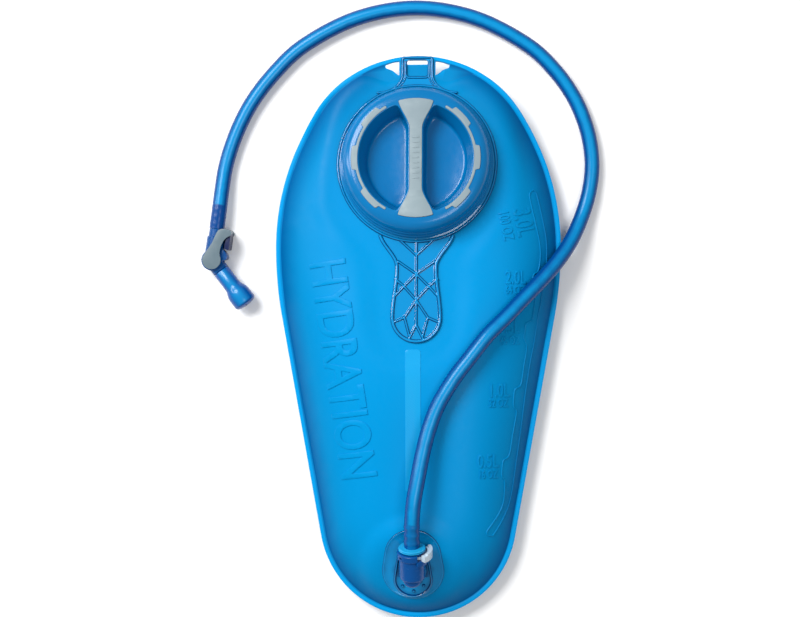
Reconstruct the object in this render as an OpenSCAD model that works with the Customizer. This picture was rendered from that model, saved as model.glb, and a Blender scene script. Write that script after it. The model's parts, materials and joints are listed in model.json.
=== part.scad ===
// Hydration bladder with a quarter-turn filling lid, a quick-connect outlet and a drink tube.
// It lies on its back: +Z up, +Y towards the hanger, origin under the middle of the bladder.

/* [Bladder film] */
// Length of the bladder between its welded ends
bag_l = 391; // [385:1:400]
// Greatest width across the welded edges
bag_w = 199; // [196:1:204]
// Radius of the hanger end
top_r = 85; // [82:1:88]
// Radius of the shoulders below the hanger end
side_r = 172; // [165:1:180]
// Radius of the curve that leads into the taper
taper_r = 273; // [265:1:285]
// Radius of the outlet end
foot_r = 68.8; // [66:0.2:71]
// Width of the welded edge
seam_w = 3.5; // [2.5:0.5:5]
// Extra width of the weld at the hanger
hanger_web = 12; // [10:1:14]
// Thickness of one film panel
film_t = 0.8; // [0.6:0.1:1.2]
// Height of the welded edge
seam_z = 12; // [10:1:14]
// Height of the filled front at mid length
crest_z = 44; // [40:1:48]
// Height of the filled front behind the outlet
foot_z = 38; // [36:1:42]
// Share of the way to the edge over which the back lies flat
flat_share = 0.72; // [0.6:0.02:0.8]
// Width of the weld band of the middle baffle
band_w = 10.5; // [8:0.5:14]
// Upper and lower end of the middle baffle
baffle_ends = [-8, -106];
// Diameter of the water passages in the middle baffle
baffle_hole_d = 14; // [8:1:18]

/* [Fill port and handle] */
// Distance from the middle of the bladder to the middle of the fill port
port_y = 120; // [116:1:124]
// Height of the film at the middle of the fill port
port_z = 27; // [25:1:30]
// Slope of the film at the fill port
port_tilt = 6.5; // [5:0.5:8]
// Inner radius of the filling neck
neck_in = 42.5; // [40:0.5:43]
// Outer radius of the filling neck
neck_out = 46; // [45.5:0.1:46.2]
// Height of the neck rim over the film
neck_h = 14; // [13:0.5:14.5]
// Outer radius of the clear flange
flange_r = 55.5; // [54:0.5:57]
// Thickness of the clear flange, hanger and handle
flange_t = 2; // [1.6:0.2:2.2]
// Width of the bar that carries the hanger window
hanger_w = 22.4; // [20:0.2:26]
// Width and length of the hanger window
window = [14.3, 11.6];
// Widest part of the filling handle
handle_w = 35; // [32:1:38]
// Narrowest part of the filling handle
handle_neck_w = 29; // [26:1:31]
// Width of the handle's rim and ribs
rib_w = 2.4; // [1.8:0.2:3]

/* [Lid] */
// Outer radius of the lid
lid_r = 52.5; // [52:0.1:53.5]
// Height of the lid's top over the film
lid_top = 21.5; // [20.5:0.5:23]
// Wall thickness of the lid
lid_wall = 2.4; // [2:0.1:2.6]
// Depth of the finger pockets
pocket_depth = 16; // [14:0.5:16.5]
// Outer radius of the finger pockets at the top
pocket_r = 39; // [37:0.5:39.5]
// Width of the grip bar at its ends
bar_end_w = 26; // [22:1:30]
// Width of the grip bar at its waist
bar_waist_w = 10.3; // [9:0.1:14]
// Length over which each end of the grip bar flares
bar_flare = 21; // [16:1:24]
// Angle that one bayonet lug spans
lug_span = 78; // [60:1:80]

/* [Outlet] */
// Middle of the outlet, across and along the bladder
outlet_at = [-2.5, -160];
// Height of the film at the outlet
outlet_z = 30; // [28:1:32]
// Slope of the film at the outlet
outlet_slope = 19; // [16:1:21]
// Height of the socket's axis over the film
socket_h = 11.4; // [11:0.2:13]
// Outer radius of the socket
socket_r = 9; // [8.6:0.2:9.2]
// Inner radius of the socket
socket_bore = 5.2; // [5:0.1:5.4]
// Radius of the plug's nose
nose_r = 4.9; // [4.7:0.1:4.9]

/* [Drink tube and valve] */
// Outer diameter of the drink tube
tube_d = 10.6; // [10:0.2:11]
// Inner diameter of the drink tube
tube_bore = 6.6; // [6:0.2:7]
// Pivot of the shut-off lever
valve_at = [-144.5, 54, 8.8];
// Direction from the pivot to the drink tube
inlet_dir = 81.5; // [78:0.5:85]
// Direction from the pivot to the mouthpiece
outlet_dir = -52.5; // [-56:0.5:-48]
// Outer radius of the valve housing round its spool
housing_r = 7.4; // [7:0.1:7.6]
// Radius of the valve's spool
spool_r = 4.6; // [4.4:0.1:4.8]
// Radius of the water way through the valve
way_r = 1.9; // [1.6:0.1:2]
// Radius of the lever's discs
disc_r = 6.5; // [6:0.1:7]
// Length of the mouthpiece
mouth_l = 30; // [28:1:32]
// Widest radius of the mouthpiece
mouth_r = 8.1; // [7.6:0.1:8.4]

/* [Hidden] */
$fn = 72;
play = 0.3;
eps = 0.1;
far = 400;

// The outline is made of tangent arcs. They follow from the driving dimensions.
half_w = bag_w / 2;
top_cy = bag_l / 2 - top_r;
foot_cy = foot_r - bag_l / 2;
side_y = top_cy - sqrt(pow(side_r - top_r, 2) - pow(side_r - half_w, 2));
shoulder = atan2(top_cy - side_y, side_r - half_w);
taper_run = [taper_r - half_w, side_y - foot_cy];
taper = atan2(taper_run.y, taper_run.x) - acos((taper_r - foot_r) / norm(taper_run));
// Share of the length that the middle ridge of the filled bladder takes
ridge = 0.55;
ring_shares = [0.02, 0.12, 0.24, 0.36, 0.48, 0.6, 0.71, 0.81, 0.89, 0.95, 1];
outlet_seat_r = 21;
handle_seat_r = 24;
port_seat_r = 58;
seat_blend = 20;

// Route of the drink tube, from the plug to the valve.
route = [
    [-2.5, -141.6, 48.2], [-2.5, -133, 51.1], [-2.2, -123, 53.6], [-1, -110, 55], [1.5, -96, 54.2],
    [4.5, -80, 52.3], [9, -62, 50.8], [15.5, -45, 50.2], [26, -27.5, 49.8], [37, -13, 48.2],
    [48.5, 1.5, 45.6], [61, 14, 41.4], [73, 26.5, 36], [86, 40, 28.6], [97.5, 53.5, 21],
    [107, 68, 13.5], [114.5, 85, 7.6], [119.5, 102, 5.7], [121.5, 119, 5.5], [120, 136, 5.5],
    [115.5, 152.5, 5.5], [108, 169, 5.5], [96, 186, 5.5], [78.5, 203, 5.5], [50, 219.5, 5.5],
    [24, 228, 5.5], [-2.5, 231, 5.5], [-29, 228, 5.5], [-55, 219.5, 5.5], [-83, 203.5, 5.5],
    [-101, 186.5, 5.5], [-115, 169, 5.5], [-124.5, 152.5, 5.5], [-131.5, 135.5, 5.5],
    [-136.3, 119, 5.5], [-139.2, 102, 6.2], [-141, 85, 8.2], [-141.8, 76.2, 8.8]
];

// ---- shared functions ----

function mix(a, b, t) = a + (b - a) * t;
function clamp(t) = min(max(t, 0), 1);
function smooth(t) = clamp(t) * clamp(t) * (3 - 2 * clamp(t));
function polar(r, a) = [r * cos(a), r * sin(a)];
function arc_points(r, a0, a1, n, at = [0, 0]) = [for (k = [0:n]) at + polar(r, mix(a0, a1, k / n))];
function all_but_last(list) = [for (k = [0:len(list) - 2]) list[k]];
function flip(points) = [for (k = [len(points) - 1:-1:0]) [-points[k].x, points[k].y]];

// ---- film surfaces ----

// Width of the weld where the outline faces the direction a.
function weld_w(a) = seam_w + hanger_web * smooth((a - 60) / 14);
// n points of one arc of the outline, set in by the weld when inner is 1.
function edge_arc(c, r, a0, a1, n, inner) = [
    for (k = [0:n]) let (a = mix(a0, a1, k / n)) c + polar(r - inner * weld_w(a), a)
];
function right_edge(inner) = let (
    top = edge_arc([0, top_cy], top_r, 90, shoulder, 12, inner),
    side = edge_arc([half_w - side_r, side_y], side_r, shoulder, 0, 5, inner),
    low = edge_arc([half_w - taper_r, side_y], taper_r, 0, -taper, 2, inner),
    foot = edge_arc([0, foot_cy], foot_r, -taper, -90, 10, inner),
    line = [for (k = [1:5]) mix(low[2], foot[0], k / 6)]
) concat(all_but_last(top), all_but_last(side), low, line, foot);
function outline(inner) = let (right = right_edge(inner), n = len(right))
    concat(right, flip([for (k = [1:n - 2]) right[k]]));

// Height of the film's outer face on the fill port's plane and on the outlet's plane.
function port_plane(y) = port_z - (y - port_y) * tan(port_tilt);
function outlet_plane(y) = outlet_z + (y - outlet_at.y) * tan(outlet_slope);
// Height of the face where the two panels meet, at the edge point with this y.
function seam_height(y) = mix(seam_z, port_plane(y) - film_t, smooth((y - 135) / 45));
// Height of the ridge at the place s along it.
function ridge_height(s) = s < -20 ? mix(crest_z, foot_z, smooth((-20 - s) / 85))
    : mix(crest_z, port_plane(s), smooth((s + 20) / 60));
function fullness(s) = mix(3.2, 5, smooth((s + 20) / 100));
function near(d) = 1 - smooth(d / seat_blend);
function port_distance(p) = let (y = min(max(p.y, 10), port_y))
    norm([p.x, p.y - y]) - mix(handle_seat_r, port_seat_r, smooth((y - 45) / 50));
// Inner face of the front panel. e is the edge point, t the share of the way to it.
function front_height(p, t, s, e) = let (
    free = mix(seam_height(e.y), ridge_height(s) - film_t, 1 - pow(t, fullness(s))),
    fixed = 1 - pow(t, 12),
    over_port = mix(free, port_plane(p.y) - film_t, near(port_distance(p)) * fixed)
) mix(over_port, outlet_plane(p.y) - film_t, near(norm(p - outlet_at) - outlet_seat_r) * fixed);
// Outer face of the back panel.
function back_height(t, e) = let (up = max(t - flat_share, 0) / (1 - flat_share))
    (seam_height(e.y) - film_t) * up * up;

// Rings of points from the ridge to the edge, for one face of a panel. lift raises them all.
function film_rings(front, lift) = let (inner = outline(1), outer = outline(0)) concat(
    [for (t = ring_shares) [for (e = inner)
        let (s = ridge * e.y, p = [t * e.x, s + t * (e.y - s)])
        [p.x, p.y, lift + (front ? front_height(p, t, s, e) : back_height(t, e))]]],
    [[for (p = outer) [p.x, p.y,
        lift + seam_height(p.y) - (front ? 0 : film_t)]]]
);
function flatten(rings) = [for (ring = rings) for (p = ring) p];

// A closed shell between two matching sets of rings. The first ring is bridged from side to side.
module film_shell(front) {
    upper = film_rings(front, film_t);
    lower = film_rings(front, 0);
    n = len(upper[0]);
    count = len(upper);
    low = n * count;
    outside = n * (count - 1);
    rings = [for (r = [0:count - 2]) for (k = [0:n - 1])
        let (a = r * n + k, b = r * n + (k + 1) % n) [a, a + n, b + n, b]];
    bridge = [for (k = [0:n / 2 - 1])
        k == 0 ? [0, 1, n - 1] : k == n / 2 - 1 ? [k, k + 1, k + 2] : [k, k + 1, n - k - 1, n - k]];
    faces = concat(rings, bridge);
    under = [for (f = faces) [for (k = [len(f) - 1:-1:0]) f[k] + low]];
    rim = [for (k = [0:n - 1]) let (a = outside + k, b = outside + (k + 1) % n) [b, a, a + low, b + low]];
    polyhedron(concat(flatten(upper), flatten(lower)), concat(faces, under, rim), convexity = 6);
}

// ---- placing ----

module on_port() translate([0, port_y, port_z]) rotate([-port_tilt, 0, 0]) children();
module on_outlet() translate([outlet_at.x, outlet_at.y, outlet_z]) rotate([outlet_slope, 0, 0]) children();
// On the socket's axis: +Z runs towards the drink tube, +Y points down to the film.
module on_socket() on_outlet() translate([0, 0, socket_h]) rotate([-90, 0, 0]) children();
module on_valve() translate(valve_at) children();
// A cylinder of the valve that points in the direction a, from s0 to s1.
module along(a, s0, s1, r) rotate([0, 0, a]) translate([s0, 0, 0]) rotate([0, 90, 0]) cylinder(h = s1 - s0, r = r);
module ring(r_in, r_out, z0, z1) difference() {
    translate([0, 0, z0]) cylinder(h = z1 - z0, r = r_out);
    translate([0, 0, z0 - 1]) cylinder(h = z1 - z0 + 2, r = r_in);
}
module torus(r, thick, z) translate([0, 0, z]) rotate_extrude() translate([r, 0]) circle(r = thick, $fn = 24);
module slab(z0, z1) translate([0, 0, z0]) linear_extrude(z1 - z0) children();
module lugs(r0, r1, z0, z1) for (a = [0, 180]) rotate([0, 0, a - lug_span / 2])
    rotate_extrude(angle = lug_span) translate([r0, z0]) square([r1 - r0, z1 - z0]);

// ---- bladder ----

// Two slots beside the hanger bar and one at the top of its window.
side_slot = [[12.6, 62], [12.6, 72.2], [17, 71.6], [22.4, 69.6], [22, 67.5], [17.5, 65.8], [14.8, 63.5]];
window_top = 73;
module hanger_slots() {
    slot_depth = 20;
    on_port() slab(-slot_depth, slot_depth) {
        for (side = [1, -1]) polygon([for (p = side_slot) [side * p.x, p.y]]);
        translate([-window.x / 2, window_top - 3.2]) square([window.x, 3.2]);
    }
}

module front_panel() color([0.25, 0.68, 0.95, 0.6]) difference() {
    film_shell(true);
    on_port() translate([0, 0, -12]) cylinder(h = 24, r = neck_out + play);
    on_outlet() translate([0, 0, -8]) cylinder(h = 16, r = 6 + play);
    hanger_slots();
}

module back_panel() color([0.16, 0.5, 0.85, 0.6]) difference() {
    film_shell(false);
    hanger_slots();
}

module centre_baffle() color([0.2, 0.6, 0.9, 0.8]) {
    steps = 16;
    ys = [for (k = [0:steps]) mix(baffle_ends[1], baffle_ends[0], k / steps)];
    top = [for (y = ys) [y, front_height([0, y], 0, y, [0, y / ridge])]];
    floor_z = film_t;
    web = concat(top, [[baffle_ends[0], floor_z], [baffle_ends[1], floor_z]]);
    band = concat(top, [for (k = [steps:-1:0]) top[k] - [0, film_t]]);
    translate([outlet_at.x, 0, 0]) {
        difference() {
            rotate([90, 0, 90]) translate([0, 0, -film_t / 2]) linear_extrude(film_t) polygon(web);
            for (y = [-30, -57, -84]) translate([-5, y, 20]) rotate([0, 90, 0]) cylinder(h = 10, d = baffle_hole_d);
        }
        rotate([90, 0, 90]) translate([0, 0, -band_w / 2]) linear_extrude(band_w) polygon(band);
        translate([-band_w / 2, baffle_ends[1], floor_z]) cube([band_w, baffle_ends[0] - baffle_ends[1], film_t]);
    }
}

// ---- fill port, hanger and handle ----

bridge_start = 49.5;
bridge_neck = 63;
bridge_top = window_top + 2.4;
bridge_flare = 17.3;
function bridge_half(y) = let (t = clamp((bridge_neck - y) / (bridge_neck - bridge_start)))
    hanger_w / 2 + bridge_flare * (1 - sqrt(1 - t * t));
handle_mid = -107;
handle_join = -50;
function handle_half(y) = let (rise = smooth((y + 72) / 24))
    mix(handle_w, handle_neck_w, smooth((y - handle_mid) / 34)) / 2 + 12 * rise;
function two_sided(half) = concat(half, flip(half));
module bridge_plan() polygon(two_sided(concat(
    [for (k = [0:12]) let (y = mix(bridge_start, bridge_neck, k / 12)) [bridge_half(y), y]],
    [[hanger_w / 2, bridge_top - 1.5], [hanger_w / 2 - 1.5, bridge_top]])));
module handle_plan(set_in) polygon(two_sided(concat(
    arc_points(handle_w / 2 - set_in, -84, 0, 14, [0, handle_mid]),
    [for (k = [1:14]) let (y = mix(handle_mid, handle_join, k / 14)) [handle_half(y) - set_in, y]])));
module rib(a, b) {
    d = b - a;
    translate(a) rotate([0, 0, atan2(d.y, d.x)]) translate([0, -rib_w / 2]) square([norm(d), rib_w]);
    for (p = [a, b]) translate(p) rotate([0, 0, 10]) circle(r = rib_w * 0.7, $fn = 12);
}
// Ribs of the handle on the right side. The left side mirrors them.
ribs = [
    [[0, -108], [0, -50]], [[0, -64], [13, -52]], [[0, -77], [8.5, -85.5]], [[8.5, -85.5], [0, -95]],
    [[0, -77], [13, -68]], [[8.5, -85.5], [15, -80]], [[8.5, -85.5], [14.5, -92]], [[0, -95], [8, -107]],
    [[8, -107], [15, -110]], [[0, -112], [5, -122]], [[8, -107], [4.5, -120]], [[0, -112], [0, -105]]
];
module handle_frame() color([0.62, 0.85, 1, 0.7]) on_port() difference() {
    slab(0, flange_t) {
        circle(r = flange_r, $fn = 120);
        bridge_plan();
        difference() {
            handle_plan(0);
            handle_plan(rib_w);
        }
        intersection() {
            for (side = [1, -1], r = ribs) rib([side * r[0].x, r[0].y], [side * r[1].x, r[1].y]);
            handle_plan(eps);
        }
    }
    translate([0, 0, -1]) cylinder(h = flange_t + 2, r = neck_out + eps);
    translate([-window.x / 2, window_top - window.y, -1]) cube([window.x, window.y, flange_t + 2]);
}

module port_neck() color([0.75, 0.88, 0.96]) on_port() {
    ring(neck_in, neck_out, -3, neck_h);
    ring(neck_in, neck_out + 2.5, -3, -film_t - eps);
    lugs(neck_out - eps, neck_out + 2.5, 8, 11);
}

// ---- lid ----

skirt_in = lid_r - lid_wall - 1;
skirt_foot = flange_t + 0.6;
gasket_z = neck_h + 0.2;
gasket_h = 1.1;
ceiling = gasket_z + gasket_h + play;
pocket_floor = lid_top - pocket_depth;
bar_l = 82;
band_in = 39.6;
band_out = 41.4;
band_depth = 1;
module lid_gasket() color([0.85, 0.9, 0.93]) on_port() ring(neck_in + play, neck_out - play, gasket_z, gasket_z + gasket_h);

// Half the width of the hourglass bar at the place y along it.
function bar_half(y) = mix(bar_waist_w, bar_end_w, smooth((abs(y) - (bar_l / 2 - bar_flare)) / bar_flare)) / 2;
module bar_plan(set_in, reach) intersection() {
    polygon(two_sided([for (k = [0:24]) let (y = mix(-reach, reach, k / 24)) [bar_half(y) - set_in, y]]));
    circle(r = reach);
}
module band_plan(side, grow) {
    tab_turns = [-52, -32, -10.5, 10.5, 32, 52];
    rotate([0, 0, side > 0 ? 0 : 180]) {
        polygon(concat(arc_points(band_out + grow, -60, 60, 40), arc_points(band_in - grow, 60, -60, 40)));
        for (k = [0:2:4]) polygon(concat(
            arc_points(44 + grow, tab_turns[k] - grow, tab_turns[k + 1] + grow, 8),
            arc_points(band_in, tab_turns[k + 1] + grow, tab_turns[k] - grow, 8)));
    }
}
module lid_shell() color([0.02, 0.25, 0.55]) on_port() {
    edge = 5;
    difference() {
        rotate_extrude($fn = 120) polygon(concat(
            [[0, skirt_foot], [lid_r - 1, skirt_foot], [lid_r, skirt_foot + 1]],
            arc_points(edge, 0, 90, 8, [lid_r - edge, lid_top - edge]), [[0, lid_top]]));
        // Space for the neck, inside the skirt
        ring(neck_in - 0.9, skirt_in, 0, ceiling);
        // Space below the pockets and the bar
        translate([0, 0, 0]) cylinder(h = pocket_floor - lid_wall, r = neck_in);
        slab(0, lid_top - lid_wall) bar_plan(lid_wall, pocket_r - lid_wall);
        slab(pocket_floor, far) difference() {
            circle(r = pocket_r);
            bar_plan(0, bar_l);
        }
        for (side = [1, -1]) slab(lid_top - band_depth, far) band_plan(side, 0);
        slab(lid_top - band_depth, far) bar_plan(1, bar_l / 2);
    }
    lugs(neck_out + 0.5, skirt_in + eps, 4.2, 7.6);
}
module grip_bar() color([0.6, 0.67, 0.72]) on_port() slab(lid_top - band_depth, lid_top + 0.6) bar_plan(1, bar_l / 2);
module grip_band(side) color([0.6, 0.67, 0.72]) on_port() slab(lid_top - band_depth, lid_top + 0.3) band_plan(side, 0);
module left_grip_band() grip_band(-1);
module right_grip_band() grip_band(1);

// ---- outlet ----

// Places along the socket's axis, from the middle of the outlet
elbow_at = 1;
elbow_r = 6.5;
socket_end = 20.5;
collar_start = 15;
collar_r = 10.2;
seat_at = 8.5;
seat_r = 2.5;
chamber_r = 4;
chamber_end = 0.6;
poppet_at = 3.6;
plug_face = socket_end + 0.6;
plug_back = plug_face + 2.3;
barb_end = plug_back + 18;
latch_z = [16.6, 18.6];
latch_travel = 2.4;
button_at = 10.8;

// An egg: a circle at each end with tangent sides.
module egg(low_r, low_y, high_r, high_y) {
    lean = asin((low_r - high_r) / (high_y - low_y));
    polygon(concat(arc_points(high_r, lean, 180 - lean, 18, [0, high_y]),
        arc_points(low_r, 180 - lean, 360 + lean, 24, [0, low_y])));
}
module outlet_patch() color([0.3, 0.66, 0.92, 0.7]) on_outlet() difference() {
    slab(0, 0.6) egg(21.3, -0.5, 19, 10);
    translate([0, 0, -1]) cylinder(h = 3, r = 6 + play);
}
module outlet_port() color([0.7, 0.87, 0.98, 0.8]) on_outlet() difference() {
    union() {
        slab(0.6, 2.1) egg(13.5, -6.4, 11, 9.7);
        translate([0, elbow_at, 0.6]) cylinder(h = 2.6, r = 9.6);
        translate([0, 0, -5]) cylinder(h = 6, r = 6);
    }
    translate([0, 0, -6]) cylinder(h = 12, r = 3.4);
    translate([0, elbow_at, 2.1]) cylinder(h = 4, r = elbow_r + eps);
    // The socket lies over the base
    translate([0, 0, socket_h]) rotate([-90, 0, 0]) cylinder(h = 30, r = socket_r + eps);
}
module socket_body() color([0.02, 0.16, 0.42]) difference() {
    union() {
        on_socket() {
            translate([0, 0, elbow_at]) cylinder(h = socket_end - elbow_at, r = socket_r);
            translate([0, 0, collar_start]) cylinder(h = socket_end - collar_start, r = collar_r);
        }
        on_outlet() translate([0, elbow_at, 2.2]) cylinder(h = socket_h + elbow_r - 2.2, r = elbow_r);
    }
    on_socket() {
        translate([0, 0, seat_at]) cylinder(h = far, r = socket_bore);
        translate([0, 0, chamber_end]) cylinder(h = far, r = seat_r);
        translate([0, 0, chamber_end]) cylinder(h = seat_at - 1 - chamber_end, r = chamber_r);
        // Slot for the latch plate, with room for its spring
        translate([-7.4, -6.5, latch_z[0] - play]) cube([20, 13, latch_z[1] - latch_z[0] + 2 * play]);
        // Recess that the button is pressed into
        translate([button_at - latch_travel - play, -4.6, latch_z[0] - 1.7]) cube([10, 9.2, 5.4]);
    }
    on_outlet() translate([0, 0, 1]) cylinder(h = socket_h - 1, r = 3);
}
module latch_button() color([0.75, 0.82, 0.88]) on_socket() {
    difference() {
        translate([-3.8 - eps, -6.1, latch_z[0]]) cube([15, 12.2, latch_z[1] - latch_z[0]]);
        // The hole clears the plug at rest and when pressed
        for (x = [0, latch_travel]) translate([x, 0, 0]) cylinder(h = 30, r = nose_r + play);
        translate([0, -nose_r - play, 0]) cube([latch_travel, 2 * (nose_r + play), 30]);
        translate([-5, -nose_r - play, 0]) cube([5, 2 * (nose_r + play), 30]);
    }
    translate([button_at, -4.2, latch_z[0] - 1.4]) cube([3.6, 8.4, 4.8]);
}
module latch_spring() color([0.75, 0.75, 0.78]) on_socket()
    for (y = [-5.7, 5.7]) translate([-7.1, y, mix(latch_z[0], latch_z[1], 0.5)])
        rotate([0, 90, 0]) cylinder(h = 3, r = 0.5, $fn = 16);
module check_poppet() color([0.85, 0.88, 0.9]) on_socket() {
    translate([0, 0, poppet_at]) cylinder(h = 1.2, r = chamber_r - 0.7);
    translate([0, 0, poppet_at - 2.2]) cylinder(h = 2.3, r = 0.9, $fn = 24);
}
module poppet_seal() color([0.15, 0.15, 0.16]) on_socket() 
    ring(1.5, chamber_r - 0.8, poppet_at + 1.2, poppet_at + 1.8);
module poppet_spring() color([0.75, 0.75, 0.78]) on_socket() 
    ring(1.3, 2.3, chamber_end + eps, poppet_at - eps);

// ---- plug, tube and valve ----

oring_at = 12.6;
module plug_adapter() color([0.45, 0.75, 0.95]) on_socket() difference() {
    union() {
        translate([0, 0, 10]) cylinder(h = barb_end - 10, r = 3.4);
        translate([0, 0, 10]) cylinder(h = plug_face - 10 + eps, r = nose_r);
        translate([0, 0, plug_face]) cylinder(h = plug_back - plug_face, r = 9.2);
        // Pin that opens the check valve
        translate([0, 0, poppet_at + 2]) cylinder(h = 5, r = 1.2, $fn = 24);
        for (z = [3.5, 9, 14.5]) translate([0, 0, plug_back + z]) cylinder(h = 2.4, r1 = 4.2, r2 = 3.4);
    }
    translate([0, 0, 12]) cylinder(h = far, r = 2.3);
    for (a = [0:90:270]) rotate([0, 0, a]) translate([2.2, 0, 9]) cylinder(h = 4, r = 0.8, $fn = 24);
    ring(nose_r - 1, nose_r + 1, oring_at, oring_at + 1.8);
}
module plug_oring() color([0.1, 0.1, 0.1]) on_socket() torus(nose_r - 0.55, 0.7, oring_at + 0.9);

// A tube with the given number of sides, swept along a list of points.
function unit(v) = v / norm(v);
function heading(points, k) = unit(points[min(k + 1, len(points) - 1)] - points[max(k - 1, 0)]);
function side_of(d) = unit(cross(d, [0, 0, 1]));
module swept_tube(points, r, sides) {
    count = len(points);
    rings = [for (k = [0:count - 1]) let (d = heading(points, k), u = side_of(d), v = cross(u, d))
        for (j = [0:sides - 1]) points[k] + r * (cos(360 * j / sides) * u + sin(360 * j / sides) * v)];
    walls = [for (k = [0:count - 2]) for (j = [0:sides - 1])
        let (a = k * sides + j, b = k * sides + (j + 1) % sides) [b, a, a + sides, b + sides]];
    start = [for (j = [0:sides - 1]) j];
    end = [for (j = [sides - 1:-1:0]) (count - 1) * sides + j];
    polyhedron(rings, concat(walls, [start, end]), convexity = 8);
}
module drink_tube() color([0.02, 0.5, 0.85, 0.8]) swept_tube(route, tube_d / 2, 12);

tube_gap = norm([route[len(route) - 1].x - valve_at.x, route[len(route) - 1].y - valve_at.y]);
stem_l = 22;
module valve_body() color([0.02, 0.22, 0.5]) on_valve() difference() {
    union() {
        translate([0, 0, -6.4]) cylinder(h = 12.8, r = housing_r);
        along(inlet_dir, 0, tube_gap - 6, 6.4);
        along(inlet_dir, 0, tube_gap, 5.6);
        along(inlet_dir, tube_gap - 1, tube_gap + 17, 3.3);
        for (s = [3, 8, 13]) along(inlet_dir, tube_gap + s, tube_gap + s + 2, 3.9);
        along(outlet_dir, 0, 9.5, 5.9);
        along(outlet_dir, 0, stem_l, 3.4);
        along(outlet_dir, stem_l - 3, stem_l - 1, 4.1);
    }
    translate([0, 0, -7]) cylinder(h = 14, r = spool_r + eps);
    along(inlet_dir, 0, far, way_r);
    along(outlet_dir, 0, far, way_r);
}
module valve_spool() color([0.85, 0.88, 0.9]) on_valve() difference() {
    translate([0, 0, -6.6]) cylinder(h = 13.2, r = spool_r - 0.05);
    translate([0, 0, -way_r - 0.4]) cylinder(h = 2 * way_r + 0.8, r = way_r + 0.7);
    along(inlet_dir, 1.2, 10, way_r);
    along(outlet_dir, 1.2, 10, way_r);
    for (z = [-4.6, 3.4]) ring(spool_r - 0.8, spool_r + 1, z, z + 1.2);
}
module spool_seals() color([0.12, 0.12, 0.12]) on_valve() for (z = [-4, 4]) torus(spool_r - 0.4, 0.4, z);

pad_side = 7.2;
module shutoff_lever() color([0.8, 0.84, 0.87]) on_valve() {
    pad_l = [9, 22];
    disc_z = 6.8;
    disc_t = 1.8;
    for (z = [-disc_z - disc_t, disc_z]) translate([0, 0, z]) {
        cylinder(h = disc_t, r = disc_r);
        rotate([0, 0, inlet_dir]) translate([0, -pad_side - 3, 0]) linear_extrude(disc_t) difference() {
            polygon([[-2, pad_side + 3 - 5], [-2, 3], [9, 0], [pad_l[1], 0], [pad_l[1], 2.6], [11, 5], [5, 13]]);
            circle(r = eps);
        }
    }
    rotate([0, 0, inlet_dir]) translate([pad_l[0], -pad_side - 3, -disc_z - eps])
        cube([pad_l[1] - pad_l[0], 2.6, 2 * (disc_z + eps)]);
    for (z = [-disc_z - eps, 6.6]) translate([0, 0, z]) cylinder(h = 0.3, r = 2.5);
}

module bite_valve() color([0.1, 0.6, 0.95, 0.85]) on_valve() rotate([0, 0, outlet_dir]) rotate([0, 90, 0]) {
    start = 9.7;
    head = start + mouth_l - 10.3;
    tip = start + mouth_l;
    stem_r = 5.9;
    difference() {
        rotate_extrude() polygon(concat(
            [[0, start], [stem_r, start], [stem_r, head - 7]],
            [for (k = [1:6]) [mix(stem_r, mouth_r, smooth(k / 6)), mix(head - 7, head, k / 6)]],
            [[mouth_r, tip - 3], [mouth_r - 0.8, tip - 1.4], [mouth_r - 2.6, tip - 0.4], [0, tip]]));
        translate([0, 0, start - 1]) cylinder(h = stem_l - 3 - start + 1, r = 3.5);
        translate([0, 0, start - 1]) cylinder(h = mouth_l - 1.4, r = 3.45);
        translate([0, 0, stem_l - 3.2]) cylinder(h = 2.6, r = 4.2);
        translate([-5, -0.25, tip - 4]) cube([10, 0.5, 6]);
    }
}

front_panel();
back_panel();
centre_baffle();
handle_frame();
port_neck();
lid_gasket();
lid_shell();
grip_bar();
left_grip_band();
right_grip_band();
outlet_patch();
outlet_port();
socket_body();
latch_button();
latch_spring();
check_poppet();
poppet_seal();
poppet_spring();
plug_adapter();
plug_oring();
drink_tube();
valve_body();
valve_spool();
spool_seals();
shutoff_lever();
bite_valve();
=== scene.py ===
# %% [markdown]
# # A hydration bladder, modelled around its working frame
# The real thing is a welded bag of tinted film with moulded fittings: a big turning lid, a clear
# hanger and handle, a quick-connect outlet, and a hose that ends in a shut-off valve.
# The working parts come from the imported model. This lesson gives them their real surfaces.

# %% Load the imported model
import json
import math

import bpy
import bmesh
import numpy as np
from mathutils import Matrix, Vector
from mathutils.bvhtree import BVHTree


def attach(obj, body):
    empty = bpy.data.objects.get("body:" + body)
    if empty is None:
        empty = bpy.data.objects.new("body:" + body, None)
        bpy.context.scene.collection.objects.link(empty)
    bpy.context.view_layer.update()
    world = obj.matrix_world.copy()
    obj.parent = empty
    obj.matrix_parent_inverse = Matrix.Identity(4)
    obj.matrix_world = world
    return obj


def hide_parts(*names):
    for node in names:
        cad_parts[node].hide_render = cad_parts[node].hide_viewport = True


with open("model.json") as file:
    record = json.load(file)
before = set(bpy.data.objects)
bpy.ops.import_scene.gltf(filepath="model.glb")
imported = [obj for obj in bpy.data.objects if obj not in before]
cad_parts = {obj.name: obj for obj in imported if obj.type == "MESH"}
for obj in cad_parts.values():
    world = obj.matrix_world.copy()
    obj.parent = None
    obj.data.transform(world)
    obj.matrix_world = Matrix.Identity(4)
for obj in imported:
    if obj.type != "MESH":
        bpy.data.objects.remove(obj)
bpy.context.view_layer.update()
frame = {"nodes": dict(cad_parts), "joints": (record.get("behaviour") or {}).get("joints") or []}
nodes = frame["nodes"]
joints = {j["name"]: j for j in frame["joints"]}
MM = 0.001
print("pieces in the frame:", len(nodes))

# %% [markdown]
# Two fittings sit on sloping film, so each gets a frame of its own. The port's frame comes from the
# axis that the lid turns on, and the socket's from the axis that the plug slides along.

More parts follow.
